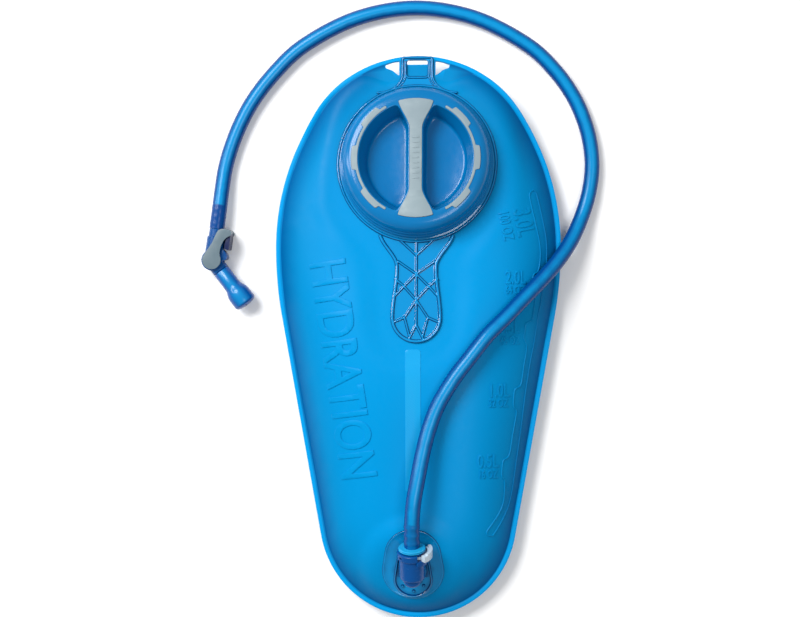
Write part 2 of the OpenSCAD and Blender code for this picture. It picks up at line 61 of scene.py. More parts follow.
# %% Local frames of the fittings
lid_axis = Vector(joints["lid_turn"]["axis"])
PORT_TILT = math.atan2(lid_axis.y, lid_axis.z)
PORT_AT = Vector(joints["lid_turn"]["pos_m"])
PORT = Matrix.Translation(PORT_AT) @ Matrix.Rotation(-PORT_TILT, 4, "X")

plug_axis = Vector(joints["hose_unplug"]["axis"])
OUTLET_SLOPE = math.atan2(plug_axis.z, plug_axis.y)
OUTLET_AT = Vector((-2.5, -160, 30)) * MM
OUTLET = Matrix.Translation(OUTLET_AT) @ Matrix.Rotation(OUTLET_SLOPE, 4, "X")
SOCKET_H = 11.4
# On the socket's axis +Z runs towards the hose and +Y points down to the film.
SOCKET = OUTLET @ Matrix.Translation((0, 0, SOCKET_H * MM)) @ Matrix.Rotation(-math.pi / 2, 4, "X")
VALVE_AT = Vector(joints["lever_turn"]["pos_m"])
VALVE = Matrix.Translation(VALVE_AT)
INLET_DIR = math.radians(81.5)
MOUTH_DIR = math.radians(-52.5)
print("port tilt", round(math.degrees(PORT_TILT), 2), "outlet slope", round(math.degrees(OUTLET_SLOPE), 2))

# %% [markdown]
# ## Camera
# The object lies on a table and is seen from straight above through a longish lens. The camera
# leans three degrees, so the raised fittings shift a little to the left over the film.

# %% Camera
LOOK_AT = Vector((-12.6, 20, 10)) * MM
CAMERA_DISTANCE = 1.23
CAMERA_LEAN = math.radians(3)
VIEW_WIDTH = 0.56
bpy.ops.object.camera_add()
camera = bpy.context.object
camera.name = "camera"
camera.location = LOOK_AT + CAMERA_DISTANCE * Vector((math.sin(CAMERA_LEAN), 0, math.cos(CAMERA_LEAN)))
camera.rotation_euler = (0, CAMERA_LEAN, 0)
camera.data.sensor_width = 36
camera.data.lens = 36 * CAMERA_DISTANCE / VIEW_WIDTH
camera.data.clip_start = 0.01
bpy.context.scene.camera = camera
print("lens", round(camera.data.lens, 1), "mm")

# %% [markdown]
# ## Small helpers
# Pieces are made from a primitive, shaped, finished with modifiers that are then applied, and
# fastened to the body that carries them. Operators act on whatever is selected, so everything is
# deselected before each piece.

# %% Helpers for all pieces
def start_piece():
    if bpy.context.object and bpy.context.object.mode != "OBJECT":
        bpy.ops.object.mode_set(mode="OBJECT")
    bpy.ops.object.select_all(action="DESELECT")


def only(obj):
    start_piece()
    obj.select_set(True)
    bpy.context.view_layer.objects.active = obj


def apply_all(obj):
    only(obj)
    for modifier in list(obj.modifiers):
        bpy.ops.object.modifier_apply(modifier=modifier.name)


def smooth_by_angle(obj, degrees=35):
    only(obj)
    bpy.ops.object.shade_smooth_by_angle(angle=math.radians(degrees))


def tidy_mesh(obj, merge=1e-6):
    """Merges doubles and turns all faces outwards."""
    only(obj)
    bpy.ops.object.mode_set(mode="EDIT")
    bpy.ops.mesh.select_all(action="SELECT")
    bpy.ops.mesh.remove_doubles(threshold=merge)
    bpy.ops.mesh.normals_make_consistent(inside=False)
    bpy.ops.object.mode_set(mode="OBJECT")


def place(obj, matrix):
    """Puts a piece in its place through its mesh, so that its object stays at the origin."""
    obj.data.transform(matrix @ obj.matrix_world)
    obj.matrix_world = Matrix.Identity(4)
    obj.data.update()


def bevel(obj, width, segments=3, angle=40):
    modifier = obj.modifiers.new("edge", "BEVEL")
    modifier.width = width * MM
    modifier.segments = segments
    modifier.limit_method = "ANGLE"
    modifier.angle_limit = math.radians(angle)
    modifier.harden_normals = False


def cut(obj, cutter, operation="DIFFERENCE"):
    modifier = obj.modifiers.new("cut", "BOOLEAN")
    modifier.operation = operation
    modifier.solver = "EXACT"
    modifier.object = cutter
    apply_all(obj)
    bpy.data.objects.remove(cutter)


def smooth(t):
    t = np.clip(t, 0, 1)
    return t * t * (3 - 2 * t)


def mix(a, b, t):
    return a + (b - a) * t


def arc(radius, start, end, steps, at=(0, 0)):
    """Points of an arc in the plane, angles in degrees."""
    angles = np.radians(np.linspace(start, end, steps + 1))
    return [(at[0] + radius * math.cos(a), at[1] + radius * math.sin(a)) for a in angles]


# %% [markdown]
# Round fittings are turned, as on a lathe: a circle is extruded ring by ring along its axis, and
# each new ring is scaled to the next radius. Flat fittings start as a filled outline.

# %% Turned pieces and plates
def turn(name, profile, segments=96, closed=False):
    """A turned piece from (radius, height) pairs in mm. closed joins the last ring to the first."""
    start_piece()
    (r0, z0), rest = profile[0], profile[1:]
    bpy.ops.mesh.primitive_circle_add(vertices=segments, radius=1, location=(0, 0, 0))
    obj = bpy.context.object
    obj.name = name
    bpy.ops.object.mode_set(mode="EDIT")
    bpy.ops.transform.resize(value=(r0 * MM, r0 * MM, 1))
    bpy.ops.transform.translate(value=(0, 0, z0 * MM))
    radius, height = r0, z0
    if not closed and r0 > 0.01:
        bpy.ops.mesh.edge_face_add()
    for r, z in rest + ([profile[0]] if closed else []):
        bpy.ops.mesh.extrude_edges_move()
        bpy.ops.transform.resize(value=(r / radius, r / radius, 1))
        bpy.ops.transform.translate(value=(0, 0, (z - height) * MM))
        radius, height = r, z
    if not closed:
        bpy.ops.mesh.edge_face_add()
    bpy.ops.object.mode_set(mode="OBJECT")
    tidy_mesh(obj)
    return obj


def plate(name, outline, low, high):
    """A plate with this outline, points in mm, from one height to another."""
    start_piece()
    bpy.ops.mesh.primitive_circle_add(vertices=len(outline), radius=1, fill_type="NGON")
    obj = bpy.context.object
    obj.name = name
    for vertex, (x, y) in zip(obj.data.vertices, outline):
        vertex.co = (x * MM, y * MM, low * MM)
    bpy.ops.object.mode_set(mode="EDIT")
    bpy.ops.mesh.select_all(action="SELECT")
    bpy.ops.mesh.extrude_region_move(TRANSFORM_OT_translate={"value": (0, 0, (high - low) * MM)})
    bpy.ops.mesh.select_all(action="SELECT")
    bpy.ops.mesh.quads_convert_to_tris(ngon_method="CLIP")
    bpy.ops.object.mode_set(mode="OBJECT")
    tidy_mesh(obj)
    return obj


def rod(name, radius, low, high, segments=48):
    """A plain round cutter or core along Z."""
    start_piece()
    bpy.ops.mesh.primitive_cylinder_add(vertices=segments, radius=radius * MM, depth=(high - low) * MM,
                                        location=(0, 0, (low + high) / 2 * MM))
    obj = bpy.context.object
    obj.name = name
    place(obj, Matrix.Identity(4))
    return obj


def block(name, size, centre):
    """A plain box, used as a cutter or as the start of a shape."""
    start_piece()
    bpy.ops.mesh.primitive_cube_add(size=1, location=[c * MM for c in centre])
    obj = bpy.context.object
    obj.name = name
    obj.scale = [s * MM for s in size]
    bpy.context.view_layer.update()
    place(obj, Matrix.Identity(4))
    return obj


def join(pieces, name):
    only(pieces[0])
    for piece in pieces[1:]:
        piece.select_set(True)
    bpy.ops.object.join()
    pieces[0].name = name
    return pieces[0]


# %% [markdown]
# ## Materials
# Every finish is made of nodes: a colour with a little variation, a roughness broken up by a fine
# pattern, and a bump at the scale of the real surface. Patterns read object coordinates, so they
# stay with the piece when it moves.

# %% A base for all finishes
def finish(name, roughness=0.3, **sockets):
    material = bpy.data.materials.new(name)
    material.use_nodes = True
    tree = material.node_tree
    shader = tree.nodes["Principled BSDF"]
    shader.inputs["Roughness"].default_value = roughness
    for key, value in sockets.items():
        shader.inputs[key.replace("_", " ")].default_value = value
    return material, tree, shader


def add(tree, kind, **values):
    node = tree.nodes.new(kind)
    for key, value in values.items():
        if hasattr(node, key):
            setattr(node, key, value)
        else:
            node.inputs[key.replace("_", " ")].default_value = value
    return node


def noise(tree, scale, detail=3):
    """Noise on the piece's own coordinates. scale is in features per metre."""
    place_on = tree.nodes.get("Texture Coordinate") or add(tree, "ShaderNodeTexCoord")
    pattern = add(tree, "ShaderNodeTexNoise", Scale=scale, Detail=detail)
    tree.links.new(place_on.outputs["Object"], pattern.inputs["Vector"])
    return pattern.outputs["Fac"]


def ramp(tree, source, stops):
    """A colour ramp from (place, colour) stops, where a colour is a grey value or r, g, b."""
    node = add(tree, "ShaderNodeValToRGB")
    elements = node.color_ramp.elements
    while len(elements) < len(stops):
        elements.new(0.5)
    for element, (at, colour) in zip(elements, stops):
        element.position = at
        rgb = (colour,) * 3 if isinstance(colour, (int, float)) else colour
        element.color = (*rgb, 1)
    tree.links.new(source, node.inputs["Fac"])
    return node.outputs["Color"]


def bump(tree, shader, source, strength, distance):
    node = add(tree, "ShaderNodeBump", Strength=strength, Distance=distance)
    tree.links.new(source, node.inputs["Height"])
    tree.links.new(node.outputs["Normal"], shader.inputs["Normal"])
    return node


def moulded(name, light, dark, roughness, grain=2600, grain_depth=0.00004, mottle=35, **sockets):
    """Moulded plastic or rubber: a slight mottle in the colour and a fine tool-mark grain."""
    material, tree, shader = finish(name, roughness, **sockets)
    tree.links.new(ramp(tree, noise(tree, mottle), [(0.35, dark), (0.65, light)]), shader.inputs["Base Color"])
    fine = noise(tree, grain, 4)
    tree.links.new(ramp(tree, noise(tree, grain / 9), [(0.3, roughness * 0.85), (0.7, roughness * 1.2)]),
                   shader.inputs["Roughness"])
    bump(tree, shader, fine, 0.12, grain_depth)
    return material


# %% The finishes of this object
lid_blue = moulded("lid_blue", (0.0, 0.15, 0.39), (0.0, 0.138, 0.36), 0.17, Specular_IOR_Level=0.3)
grip_grey = moulded("grip_grey", (0.22, 0.29, 0.32), (0.2, 0.265, 0.3), 0.55, grain=1800, grain_depth=0.00008)
lever_grey = moulded("lever_grey", (0.12, 0.17, 0.2), (0.105, 0.155, 0.185), 0.32)
button_grey = moulded("button_grey", (0.5, 0.6, 0.68), (0.46, 0.56, 0.64), 0.3)
socket_blue = moulded("socket_blue", (0.0, 0.07, 0.28), (0.0, 0.06, 0.24), 0.24, Specular_IOR_Level=0.25)
valve_blue = moulded("valve_blue", (0.0, 0.07, 0.26), (0.0, 0.06, 0.23), 0.28, Specular_IOR_Level=0.25)
# Dark navy for the thumb pad: painted shade for the shadowed hollow inside the lever.
pad_navy_painted_shade = moulded("pad_navy_painted_shade", (0.01, 0.02, 0.09), (0.008, 0.016, 0.07), 0.35, Specular_IOR_Level=0.3)
plug_blue = moulded("plug_blue", (0.01, 0.33, 0.62), (0.01, 0.3, 0.58), 0.2, Specular_IOR_Level=0.35)
seal_pale = moulded("seal_pale", (0.62, 0.68, 0.72), (0.56, 0.62, 0.66), 0.5)
seal_black = moulded("seal_black", (0.015, 0.015, 0.016), (0.01, 0.01, 0.011), 0.45)
inner_white = moulded("inner_white", (0.7, 0.74, 0.78), (0.64, 0.69, 0.74), 0.35)
spring_steel, steel_tree, steel_shader = finish("spring_steel", 0.25, Metallic=1.0)
steel_tree.links.new(ramp(steel_tree, noise(steel_tree, 900), [(0.3, 0.5), (0.7, 0.68)]),
                     steel_shader.inputs["Base Color"])
bump(steel_tree, steel_shader, noise(steel_tree, 4000), 0.2, 0.00002)


def clear(name, flat, edge, roughness=0.08, specular=0.4, wave=0.1, **sockets):
    """A clear moulding on tinted film: it takes the film's colour where it is flat, and its steep faces
    are painted dark, as painted shade for the light that real clear plastic bends away. The steep share is stored with
    the mesh."""
    material, tree, shader = finish(name, roughness, Specular_IOR_Level=specular, **sockets)
    steep = add(tree, "ShaderNodeAttribute", attribute_name="steep")
    wobble = add(tree, "ShaderNodeMath", operation="MULTIPLY_ADD")
    wobble.inputs[1].default_value = 0.12
    tree.links.new(noise(tree, 160, 2), wobble.inputs[0])
    tree.links.new(steep.outputs["Fac"], wobble.inputs[2])
    half = [mix(a, b, 0.5) for a, b in zip(flat, edge)]
    # Steep faces are painted darker: painted shade, not a colour of the moulding.
    tree.links.new(ramp(tree, wobble.outputs[0], [(0.09, flat), (0.2, half), (0.4, edge)]), shader.inputs["Base Color"])
    bump(tree, shader, noise(tree, 240, 2), wave, 0.00015)
    return material


# These three finishes paint the steep flanks of the clear mouldings, the hose and the mouthpiece darker, as painted
# shade.
clear_blue = clear("clear_blue", (0.0, 0.225, 0.52), (0.0, 0.03, 0.13))
tube_blue = clear("tube_blue", (0.0, 0.23, 0.52), (0.0, 0.05, 0.22), 0.25, 0.2, 0.02)
silicone_blue = clear("silicone_blue", (0.0, 0.19, 0.46), (0.0, 0.07, 0.29), 0.22, 0.35, 0.02)
neck_clear, neck_tree, neck_shader = finish("neck_clear", 0.16, IOR=1.48, Transmission_Weight=0.6)
neck_tree.links.new(ramp(neck_tree, noise(neck_tree, 60), [(0.3, (0.55, 0.82, 0.95)), (0.7, (0.5, 0.78, 0.93))]),
                    neck_shader.inputs["Base Color"])
bump(neck_tree, neck_shader, noise(neck_tree, 300, 2), 0.12, 0.0001)


def store_steep(obj, up=(0, 0, 1)):
    """Stores how steep the skin is at each point, before the piece is placed. The clear finishes turn it into painted
    shade.
    """
    up = Vector(up)
    values = [1 - abs(v.normal.dot(up)) for v in obj.data.vertices]
    obj.data.attributes.new("steep", "FLOAT", "POINT").data.foreach_set("value", values)


def film_finish(name, middle, rim):
    """Tinted film: darker towards the welded rim, partly its deeper tint and partly painted shade on the sloping
    flanks, faintly cloudy, with a fine pressed texture.
    """
    material, tree, shader = finish(name, 0.36, Specular_IOR_Level=0.05)
    share = add(tree, "ShaderNodeAttribute", attribute_name="rim_tint_and_shade")
    cloud = noise(tree, 18, 2)
    wobble = add(tree, "ShaderNodeMath", operation="MULTIPLY_ADD")
    wobble.inputs[1].default_value = 0.08
    tree.links.new(cloud, wobble.inputs[0])
    tree.links.new(share.outputs["Fac"], wobble.inputs[2])
    # Towards the rim the colour darkens, partly the film's tint and partly painted shade.
    middle_dim = [c * 0.8 for c in middle]
    edge = [c * 1.1 for c in middle]
    colour = ramp(tree, wobble.outputs[0], [(0.02, middle), (0.5, middle_dim), (0.93, rim), (1.0, edge)])
    tree.links.new(colour, shader.inputs["Base Color"])
    tree.links.new(ramp(tree, noise(tree, 260, 3), [(0.3, 0.3), (0.7, 0.42)]), shader.inputs["Roughness"])
    bump(tree, shader, noise(tree, 3200, 2), 0.2, 0.00005)
    return material


FILM_MIDDLE = (0.0, 0.25, 0.57)
film_blue = film_finish("film_blue", FILM_MIDDLE, (0.0, 0.09, 0.27))
film_back = film_finish("film_back", (0.0, 0.19, 0.44), (0.0, 0.1, 0.28))
print("finishes:", len([m for m in bpy.data.materials]))


def finish_piece(obj, material, body, slot, *replaced):
    """Gives a piece its material and its body, and hides the CAD nodes that it stands for. slot is not used."""
    obj.data.materials.clear()
    obj.data.materials.append(material)
    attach(obj, body)
    if replaced:
        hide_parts(*replaced)
    print(obj.name, len(obj.data.polygons) if obj.type == "MESH" else "curve")
    return obj


# %% [markdown]
# ## Hose
# The hose leaves the plug, climbs a little, lies over the bag's shoulder, drops to the table and
# runs round the hanger end to the valve. Its length is fixed, so its route comes first: the points
# are the design's own, joined by one smooth curve, and the tube is hollow like a real one.

# %% The hose's route
ROUTE = [Vector(p) * MM for p in (
    (-2.5, -141.6, 48.2), (-2.5, -133, 51.1), (-2.2, -123, 53.6), (-1, -110, 55), (1.5, -96, 54.2),
    (4.5, -80, 52.3), (9, -62, 50.8), (15.5, -45, 50.2), (26, -27.5, 49.8), (37, -13, 48.2),
    (48.5, 1.5, 45.6), (61, 14, 41.4), (73, 26.5, 36), (86, 40, 28.6), (97.5, 53.5, 21),
    (107, 68, 13.5), (114.5, 85, 7.6), (119.5, 102, 5.7), (121.5, 119, 5.5), (120, 136, 5.5),
    (115.5, 152.5, 5.5), (108, 169, 5.5), (96, 186, 5.5), (78.5, 203, 5.5), (50, 219.5, 5.5),
    (24, 228, 5.5), (-2.5, 231, 5.5), (-29, 228, 5.5), (-55, 219.5, 5.5), (-83, 203.5, 5.5),
    (-101, 186.5, 5.5), (-115, 169, 5.5), (-124.5, 152.5, 5.5), (-131.5, 135.5, 5.5),
    (-136.2, 119, 5.8), (-138.6, 102, 7.7), (-139.6, 93, 8.6), (-140.6, 85, 8.8), (-141.8, 76.2, 8.8))]
TUBE_D = 10.6
TUBE_BORE = 6.6


def smooth_route(points, steps=6):
    """A Catmull-Rom line through the points, with even small steps."""
    ends = [2 * points[0] - points[1], *points, 2 * points[-1] - points[-2]]
    line = []
    for a, b, c, d in zip(ends, ends[1:], ends[2:], ends[3:]):
        for k in range(steps):
            t = k / steps
            line.append(0.5 * (2 * b + (c - a) * t + (2 * a - 5 * b + 4 * c - d) * t ** 2
                               + (3 * b - a - 3 * c + d) * t ** 3))
    return [*line, points[-1].copy()]


hose_line = smooth_route(ROUTE)

# %% [markdown]
# The tube is extruded soft plastic. A curve along the route is given the outer diameter, turned
# into a mesh, and given its wall towards the inside, so both ends are open pipes.

# %% The hose
def pipe(name, line, radius, wall=None, sides=16, swell=None):
    """A round pipe along a line of points in metres. wall in mm makes it hollow."""
    curve = bpy.data.curves.new(name, "CURVE")
    curve.dimensions = "3D"
    spline = curve.splines.new("POLY")
    spline.points.add(len(line) - 1)
    for point, at in zip(spline.points, line):
        point.co = (*at, 1)
        point.radius = swell(at) if swell else 1
    curve.bevel_depth = radius * MM
    curve.bevel_resolution = sides // 2 - 2
    curve.use_fill_caps = wall is None
    obj = bpy.data.objects.new(name, curve)
    bpy.context.collection.objects.link(obj)
    only(obj)
    bpy.ops.object.convert(target="MESH")
    obj = bpy.context.object
    tidy_mesh(obj)
    if wall:
        modifier = obj.modifiers.new("wall", "SOLIDIFY")
        modifier.thickness = wall * MM
        modifier.offset = -1
        apply_all(obj)
    return obj


PLUG_RIDGES, VALVE_RIDGES = (3.9, 9.4, 14.9), (3.3, 8.3, 13.3)


def barb_swell(at):
    """The tube is stretched a little over each ridge of the two barbs."""
    size = 1
    for end, ridges, rise in ((ROUTE[0], PLUG_RIDGES, 0.055), (ROUTE[-1], VALVE_RIDGES, 0.015)):
        distance = (at - end).length / MM
        for ridge in ridges:
            size += rise * math.exp(-((distance - ridge) / 1.3) ** 2)
    return size


def store_flank_shade_and_barbs(obj):
    """The hose's flanks are painted darker, as painted shade. Over a barb the solid plug shows through its wall."""
    values = []
    for v in obj.data.vertices:
        plug_end = 0.17 * smooth((19.5 - (v.co - ROUTE[0]).length / MM) / 1.5)
        valve_end = 0.36 * smooth((18.5 - (v.co - ROUTE[-1]).length / MM) / 1.5)
        values.append(max(1 - abs(v.normal.z), float(plug_end), float(valve_end)))
    obj.data.attributes.new("steep", "FLOAT", "POINT").data.foreach_set("value", values)


hose = pipe("hose", smooth_route(ROUTE, 20), TUBE_D / 2, wall=(TUBE_D - TUBE_BORE) / 2, swell=barb_swell)
# Painted shade on the hose's flanks, and the darker barbs under its ends.
store_flank_shade_and_barbs(hose)
smooth_by_angle(hose, 50)
finish_piece(hose, tube_blue, "hose", "tube", "drink_tube")

# %% [markdown]
# ## Floor, light and sky
# A product photographer's set: a pale sweep under the object, a large soft light high behind the
# hanger end, a second one straight above that opens the shadows, a low strip light from the left
# that draws the moulded edges, and an even pale surround.

# %% The set
scene = bpy.context.scene
scene.view_settings.view_transform = "Standard"
scene.view_settings.look = "None"
scene.view_settings.exposure = 0.0
start_piece()
bpy.ops.mesh.primitive_plane_add(size=6, location=(0, 0, -0.00005))
floor = bpy.context.object
floor.name = "floor"
floor_white, floor_tree, floor_shader = finish("floor_white", 0.7)
floor_tree.links.new(ramp(floor_tree, noise(floor_tree, 3), [(0.3, 0.94), (0.7, 0.96)]),
                     floor_shader.inputs["Base Color"])
floor.data.materials.append(floor_white)


def softbox(name, at, aim, size, power, colour=(1, 1, 1)):
    light = bpy.data.lights.new(name, "AREA")
    light.shape = "RECTANGLE"
    light.size, light.size_y = size
    light.energy = power
    light.color = colour
    obj = bpy.data.objects.new(name, light)
    bpy.context.collection.objects.link(obj)
    obj.location = at
    obj.rotation_euler = (Vector(aim) - Vector(at)).to_track_quat("-Z", "Y").to_euler()
    return obj


lights = [
    softbox("key", (-0.85, 0.9, 1.55), (0, 0, 0), (0.9, 0.8), 38),
    softbox("front", (0.6, -0.25, 2.0), (0, 0, 0), (0.8, 0.7), 12),
    softbox("left", (-1.3, 0.4, 0.8), (0, 0, 0), (0.16, 0.8), 6),
]
world = bpy.data.worlds.new("studio")
scene.world = world
world.use_nodes = True
world.node_tree.nodes["Background"].inputs["Color"].default_value = (1, 1, 1, 1)
world.node_tree.nodes["Background"].inputs["Strength"].default_value = 0.35
print("lights:", len(lights))

# %% [markdown]
# ## Film panels
# The bag is two sheets of soft plastic, welded round their edge with high-frequency heat and
# filled, so each sheet is a smooth dome that ends in a flat weld. A pattern cutter would draw the
# outline from tangent arcs, so the same arcs are used here, and the front is lofted in rings from
# the ridge in the middle to the edge. The film lies flat under the fill port, the handle and the
# outlet, because those fittings are stiff.

# %% The outline and the shape of the filled film
BAG_L, BAG_W, TOP_R, SIDE_R, TAPER_R, FOOT_R = 391, 199, 85, 172, 273, 68.8
SEAM_W, HANGER_WEB, FILM_T, SEAM_Z = 3.5, 12, 0.8, 12
PORT_Y, PORT_Z = PORT_AT.y / MM, PORT_AT.z / MM
OUTLET_X, OUTLET_Y, OUTLET_Z = OUTLET_AT / MM
TOP_CY, FOOT_CY = BAG_L / 2 - TOP_R, FOOT_R - BAG_L / 2
SIDE_Y = TOP_CY - math.sqrt((SIDE_R - TOP_R) ** 2 - (SIDE_R - BAG_W / 2) ** 2)
SHOULDER = math.degrees(math.atan2(TOP_CY - SIDE_Y, SIDE_R - BAG_W / 2))
TAPER = math.degrees(math.atan2(SIDE_Y - FOOT_CY, TAPER_R - BAG_W / 2)
                     - math.acos((TAPER_R - FOOT_R) / math.hypot(TAPER_R - BAG_W / 2, SIDE_Y - FOOT_CY)))


def edge_point(share):
    """A point of the right edge, as x, y and the direction it faces, from the hanger end to the foot."""
    parts = [((0, TOP_CY), TOP_R, 90, SHOULDER), ((BAG_W / 2 - SIDE_R, SIDE_Y), SIDE_R, SHOULDER, 0),
             ((BAG_W / 2 - TAPER_R, SIDE_Y), TAPER_R, 0, -TAPER), None, ((0, FOOT_CY), FOOT_R, -TAPER, -90)]
    low = np.array((BAG_W / 2 - TAPER_R, SIDE_Y)) + TAPER_R * np.array((math.cos(math.radians(TAPER)),
                                                                    -math.sin(math.radians(TAPER))))
    foot = np.array((0, FOOT_CY)) + FOOT_R * np.array((math.cos(math.radians(TAPER)), -math.sin(math.radians(TAPER))))
    lengths = [p[1] * math.radians(abs(p[3] - p[2])) if p else np.linalg.norm(foot - low) for p in parts]
    left = share * sum(lengths)
    for part, length in zip(parts, lengths):
        if left <= length or part is parts[-1]:
            t = min(left / length, 1)
            if part is None:
                return (*mix(low, foot, t), -TAPER)
            centre, radius, a, b = part
            angle = mix(a, b, t)
            return (centre[0] + radius * math.cos(math.radians(angle)),
                    centre[1] + radius * math.sin(math.radians(angle)), angle)
        left -= length


ROUND = 360
right_edge = [edge_point(k / (ROUND // 2)) for k in range(ROUND // 2 + 1)]
edge_xy = np.array([p[:2] for p in right_edge] + [(-x, y) for x, y, _ in right_edge[-2::-1]])
edge_angle = np.array([p[2] for p in right_edge] + [p[2] for p in right_edge[-2::-1]])
weld_width = SEAM_W + HANGER_WEB * smooth((edge_angle - 60) / 14)
facing = np.c_[np.cos(np.radians(edge_angle)), np.sin(np.radians(edge_angle))]
facing[ROUND // 2:, 0] *= -1
weld_xy = edge_xy - facing * weld_width[:, None]
weld_xy[0, 0] = weld_xy[-1, 0] = weld_xy[ROUND // 2, 0] = 0
print("outline points", len(edge_xy), "weld from", weld_width.min(), "to", weld_width.max(), "mm")


def port_plane(y):
    return PORT_Z - (y - PORT_Y) * math.tan(PORT_TILT)


def outlet_plane(y):
    return OUTLET_Z + (y - OUTLET_Y) * math.tan(OUTLET_SLOPE)


def seam_height(y):
    return mix(SEAM_Z, port_plane(y) - FILM_T, smooth((y - 135) / 45))


def ridge_height(s):
    return np.where(s < -20, mix(44, 38, smooth((-20 - s) / 85)), mix(44, port_plane(s), smooth((s + 20) / 60)))


def film_height(x, y, t, s, edge_y):
    """Inner face of the front panel. t is the share of the way from the ridge to the weld."""
    z = mix(seam_height(edge_y), ridge_height(s) - FILM_T, 1 - t ** mix(3.2, 5, smooth((s + 20) / 100)))
    along = np.clip(y, 10, PORT_Y)
    seat = np.hypot(x, y - along) - mix(24, 58, smooth((along - 45) / 50))
    z = mix(z, port_plane(y) - FILM_T, (1 - smooth(seat / 20)) * (1 - t ** 12))
    seat = np.hypot(x - OUTLET_X, y - OUTLET_Y) - 21
    return mix(z, outlet_plane(y) - FILM_T, (1 - smooth(seat / 20)) * (1 - t ** 12))


# %% [markdown]
# A sheet that is welded flat and then filled has too much edge for its new shape, so it puckers
# softly along the weld. The puckers are a few tenths of a millimetre, strongest just inside it.

# %% The two panels
RINGS = [*(0.985 * np.linspace(0, 1, 58) ** 0.85), 0.992, 1.0]
# Distance of each row of the weld from the cut edge, at its narrow and wide places, how far the row
# rises, and its shade there: dark where the sheets meet, bright towards the edge.
WELD_ROWS = ((3.3, 14.6, 0.0, 0.93, 0.4), (3.05, 7.2, 0.05, 0.93, 0.45), (2.9, 2.9, 0.12, 0.93, 0.9),
             (2.4, 2.4, 0.34, 0.96, 0.96), (2.1, 2.1, 0.4, 1, 1), (1.2, 1.2, 0.4, 1, 1), (0.35, 0.35, 0.2, 1, 1),
             (0, 0, 0, 0.98, 0.98))


def pucker(edge_share, t):
    waves = (np.sin(edge_share * 2 * math.pi * 23 + 0.6) + 0.6 * np.sin(edge_share * 2 * math.pi * 41 + 2.0)
             + 0.4 * np.sin(edge_share * 2 * math.pi * 67 + 4.1))
    return 0.22 * waves * np.exp(-((t - 0.93) / 0.05) ** 2)


def film_panel(name, front):
    start_piece()
    rows = len(RINGS) + len(WELD_ROWS)
    bpy.ops.mesh.primitive_grid_add(x_subdivisions=ROUND, y_subdivisions=rows - 1, size=1)
    obj = bpy.context.object
    obj.name = name
    share = np.zeros(len(obj.data.vertices))
    edge_share = np.arange(ROUND + 1) / ROUND
    ridge_y = 0.55 * weld_xy[:, 1]
    web = (weld_width - SEAM_W) / HANGER_WEB
    co = np.zeros((rows, ROUND + 1, 3))
    shade = np.zeros((rows, ROUND + 1))
    for row, t in enumerate(RINGS):
        x, y = t * weld_xy[:, 0], ridge_y + t * (weld_xy[:, 1] - ridge_y)
        if front:
            z = film_height(x, y, t, ridge_y, weld_xy[:, 1]) + FILM_T
            quiet = smooth((np.hypot(x, y - PORT_Y) - 70) / 15) * smooth((np.hypot(x - OUTLET_X, y - OUTLET_Y) - 30) / 8)
            z = z + pucker(edge_share, t) * quiet
        else:
            z = (seam_height(weld_xy[:, 1]) - FILM_T) * (max(t - 0.72, 0) / 0.28) ** 2
        co[row] = np.c_[x, y, z]
        # Darker towards the weld: partly the deeper tint of the sloping film, partly painted shade on its flanks.
        shade[row] = mix(0.9, 0.4, web) * t ** 4
    for row, (narrow, wide, rise, narrow_shade, wide_shade) in enumerate(WELD_ROWS, len(RINGS)):
        t = (1 - mix(narrow, wide, web) / weld_width)[:, None]
        xy = mix(weld_xy, edge_xy, t)
        z = mix(seam_height(weld_xy[:, 1]), seam_height(edge_xy[:, 1]), t[:, 0])
        co[row] = np.c_[xy, z + (FILM_T + rise if front else -FILM_T - rise * 0.4)]
        shade[row] = mix(narrow_shade, wide_shade, web)
    obj.data.vertices.foreach_set("co", (co.reshape(-1, 3) * MM).ravel())
    attribute = obj.data.attributes.new("rim_tint_and_shade", "FLOAT", "POINT")
    attribute.data.foreach_set("value", shade.ravel().astype(np.float32))
    obj.data.update()
    tidy_mesh(obj, 2e-6)
    mean = np.mean([f.normal.z * f.area for f in obj.data.polygons])
    if (mean > 0) != front:
        obj.data.flip_normals()
    modifier = obj.modifiers.new("film", "SOLIDIFY")
    modifier.thickness = FILM_T * MM
    modifier.offset = -1
    apply_all(obj)
    for v in obj.data.vertices:
        if v.co.z < 0:      # an end of the fold along the middle, thickened outwards
            v.co.z *= -1
    return obj


front_film = film_panel("front_film", True)
back_film = film_panel("back_film", False)
print("front", len(front_film.data.polygons), "back", len(back_film.data.polygons))

# %% [markdown]
# The sheets are punched before they are welded: a hole for the filling neck and one for the outlet,
# and at the hanger two hooked slots and a strip at the top of the window.

# %% Punching the film
SIDE_SLOT = [(12.6, 62), (12.6, 72.2), (17, 71.6), (22.4, 69.6), (22, 67.5), (17.5, 65.8), (14.8, 63.5)]
WINDOW_W, WINDOW_L, WINDOW_TOP = 14.3, 11.6, 73


def rounded(points, radius=0.8, steps=4):
    """A polygon with its corners rounded. It goes round the points either way."""
    result = []
    n = len(points)
    for k in range(n):
        p = Vector(points[k])
        a = (Vector(points[k - 1]) - p)
        b = (Vector(points[(k + 1) % n]) - p)
        reach = min(radius, a.length * 0.45, b.length * 0.45)
        a, b = p + a.normalized() * reach, p + b.normalized() * reach
        for j in range(steps + 1):
            t = j / steps
            q = a * (1 - t) ** 2 + p * 2 * t * (1 - t) + b * t ** 2
            result.append((q.x, q.y))
    return result


def window_outline(low, high, corner):
    w = WINDOW_W / 2
    return rounded([(-w, low), (w, low), (w, high), (-w, high)], corner)


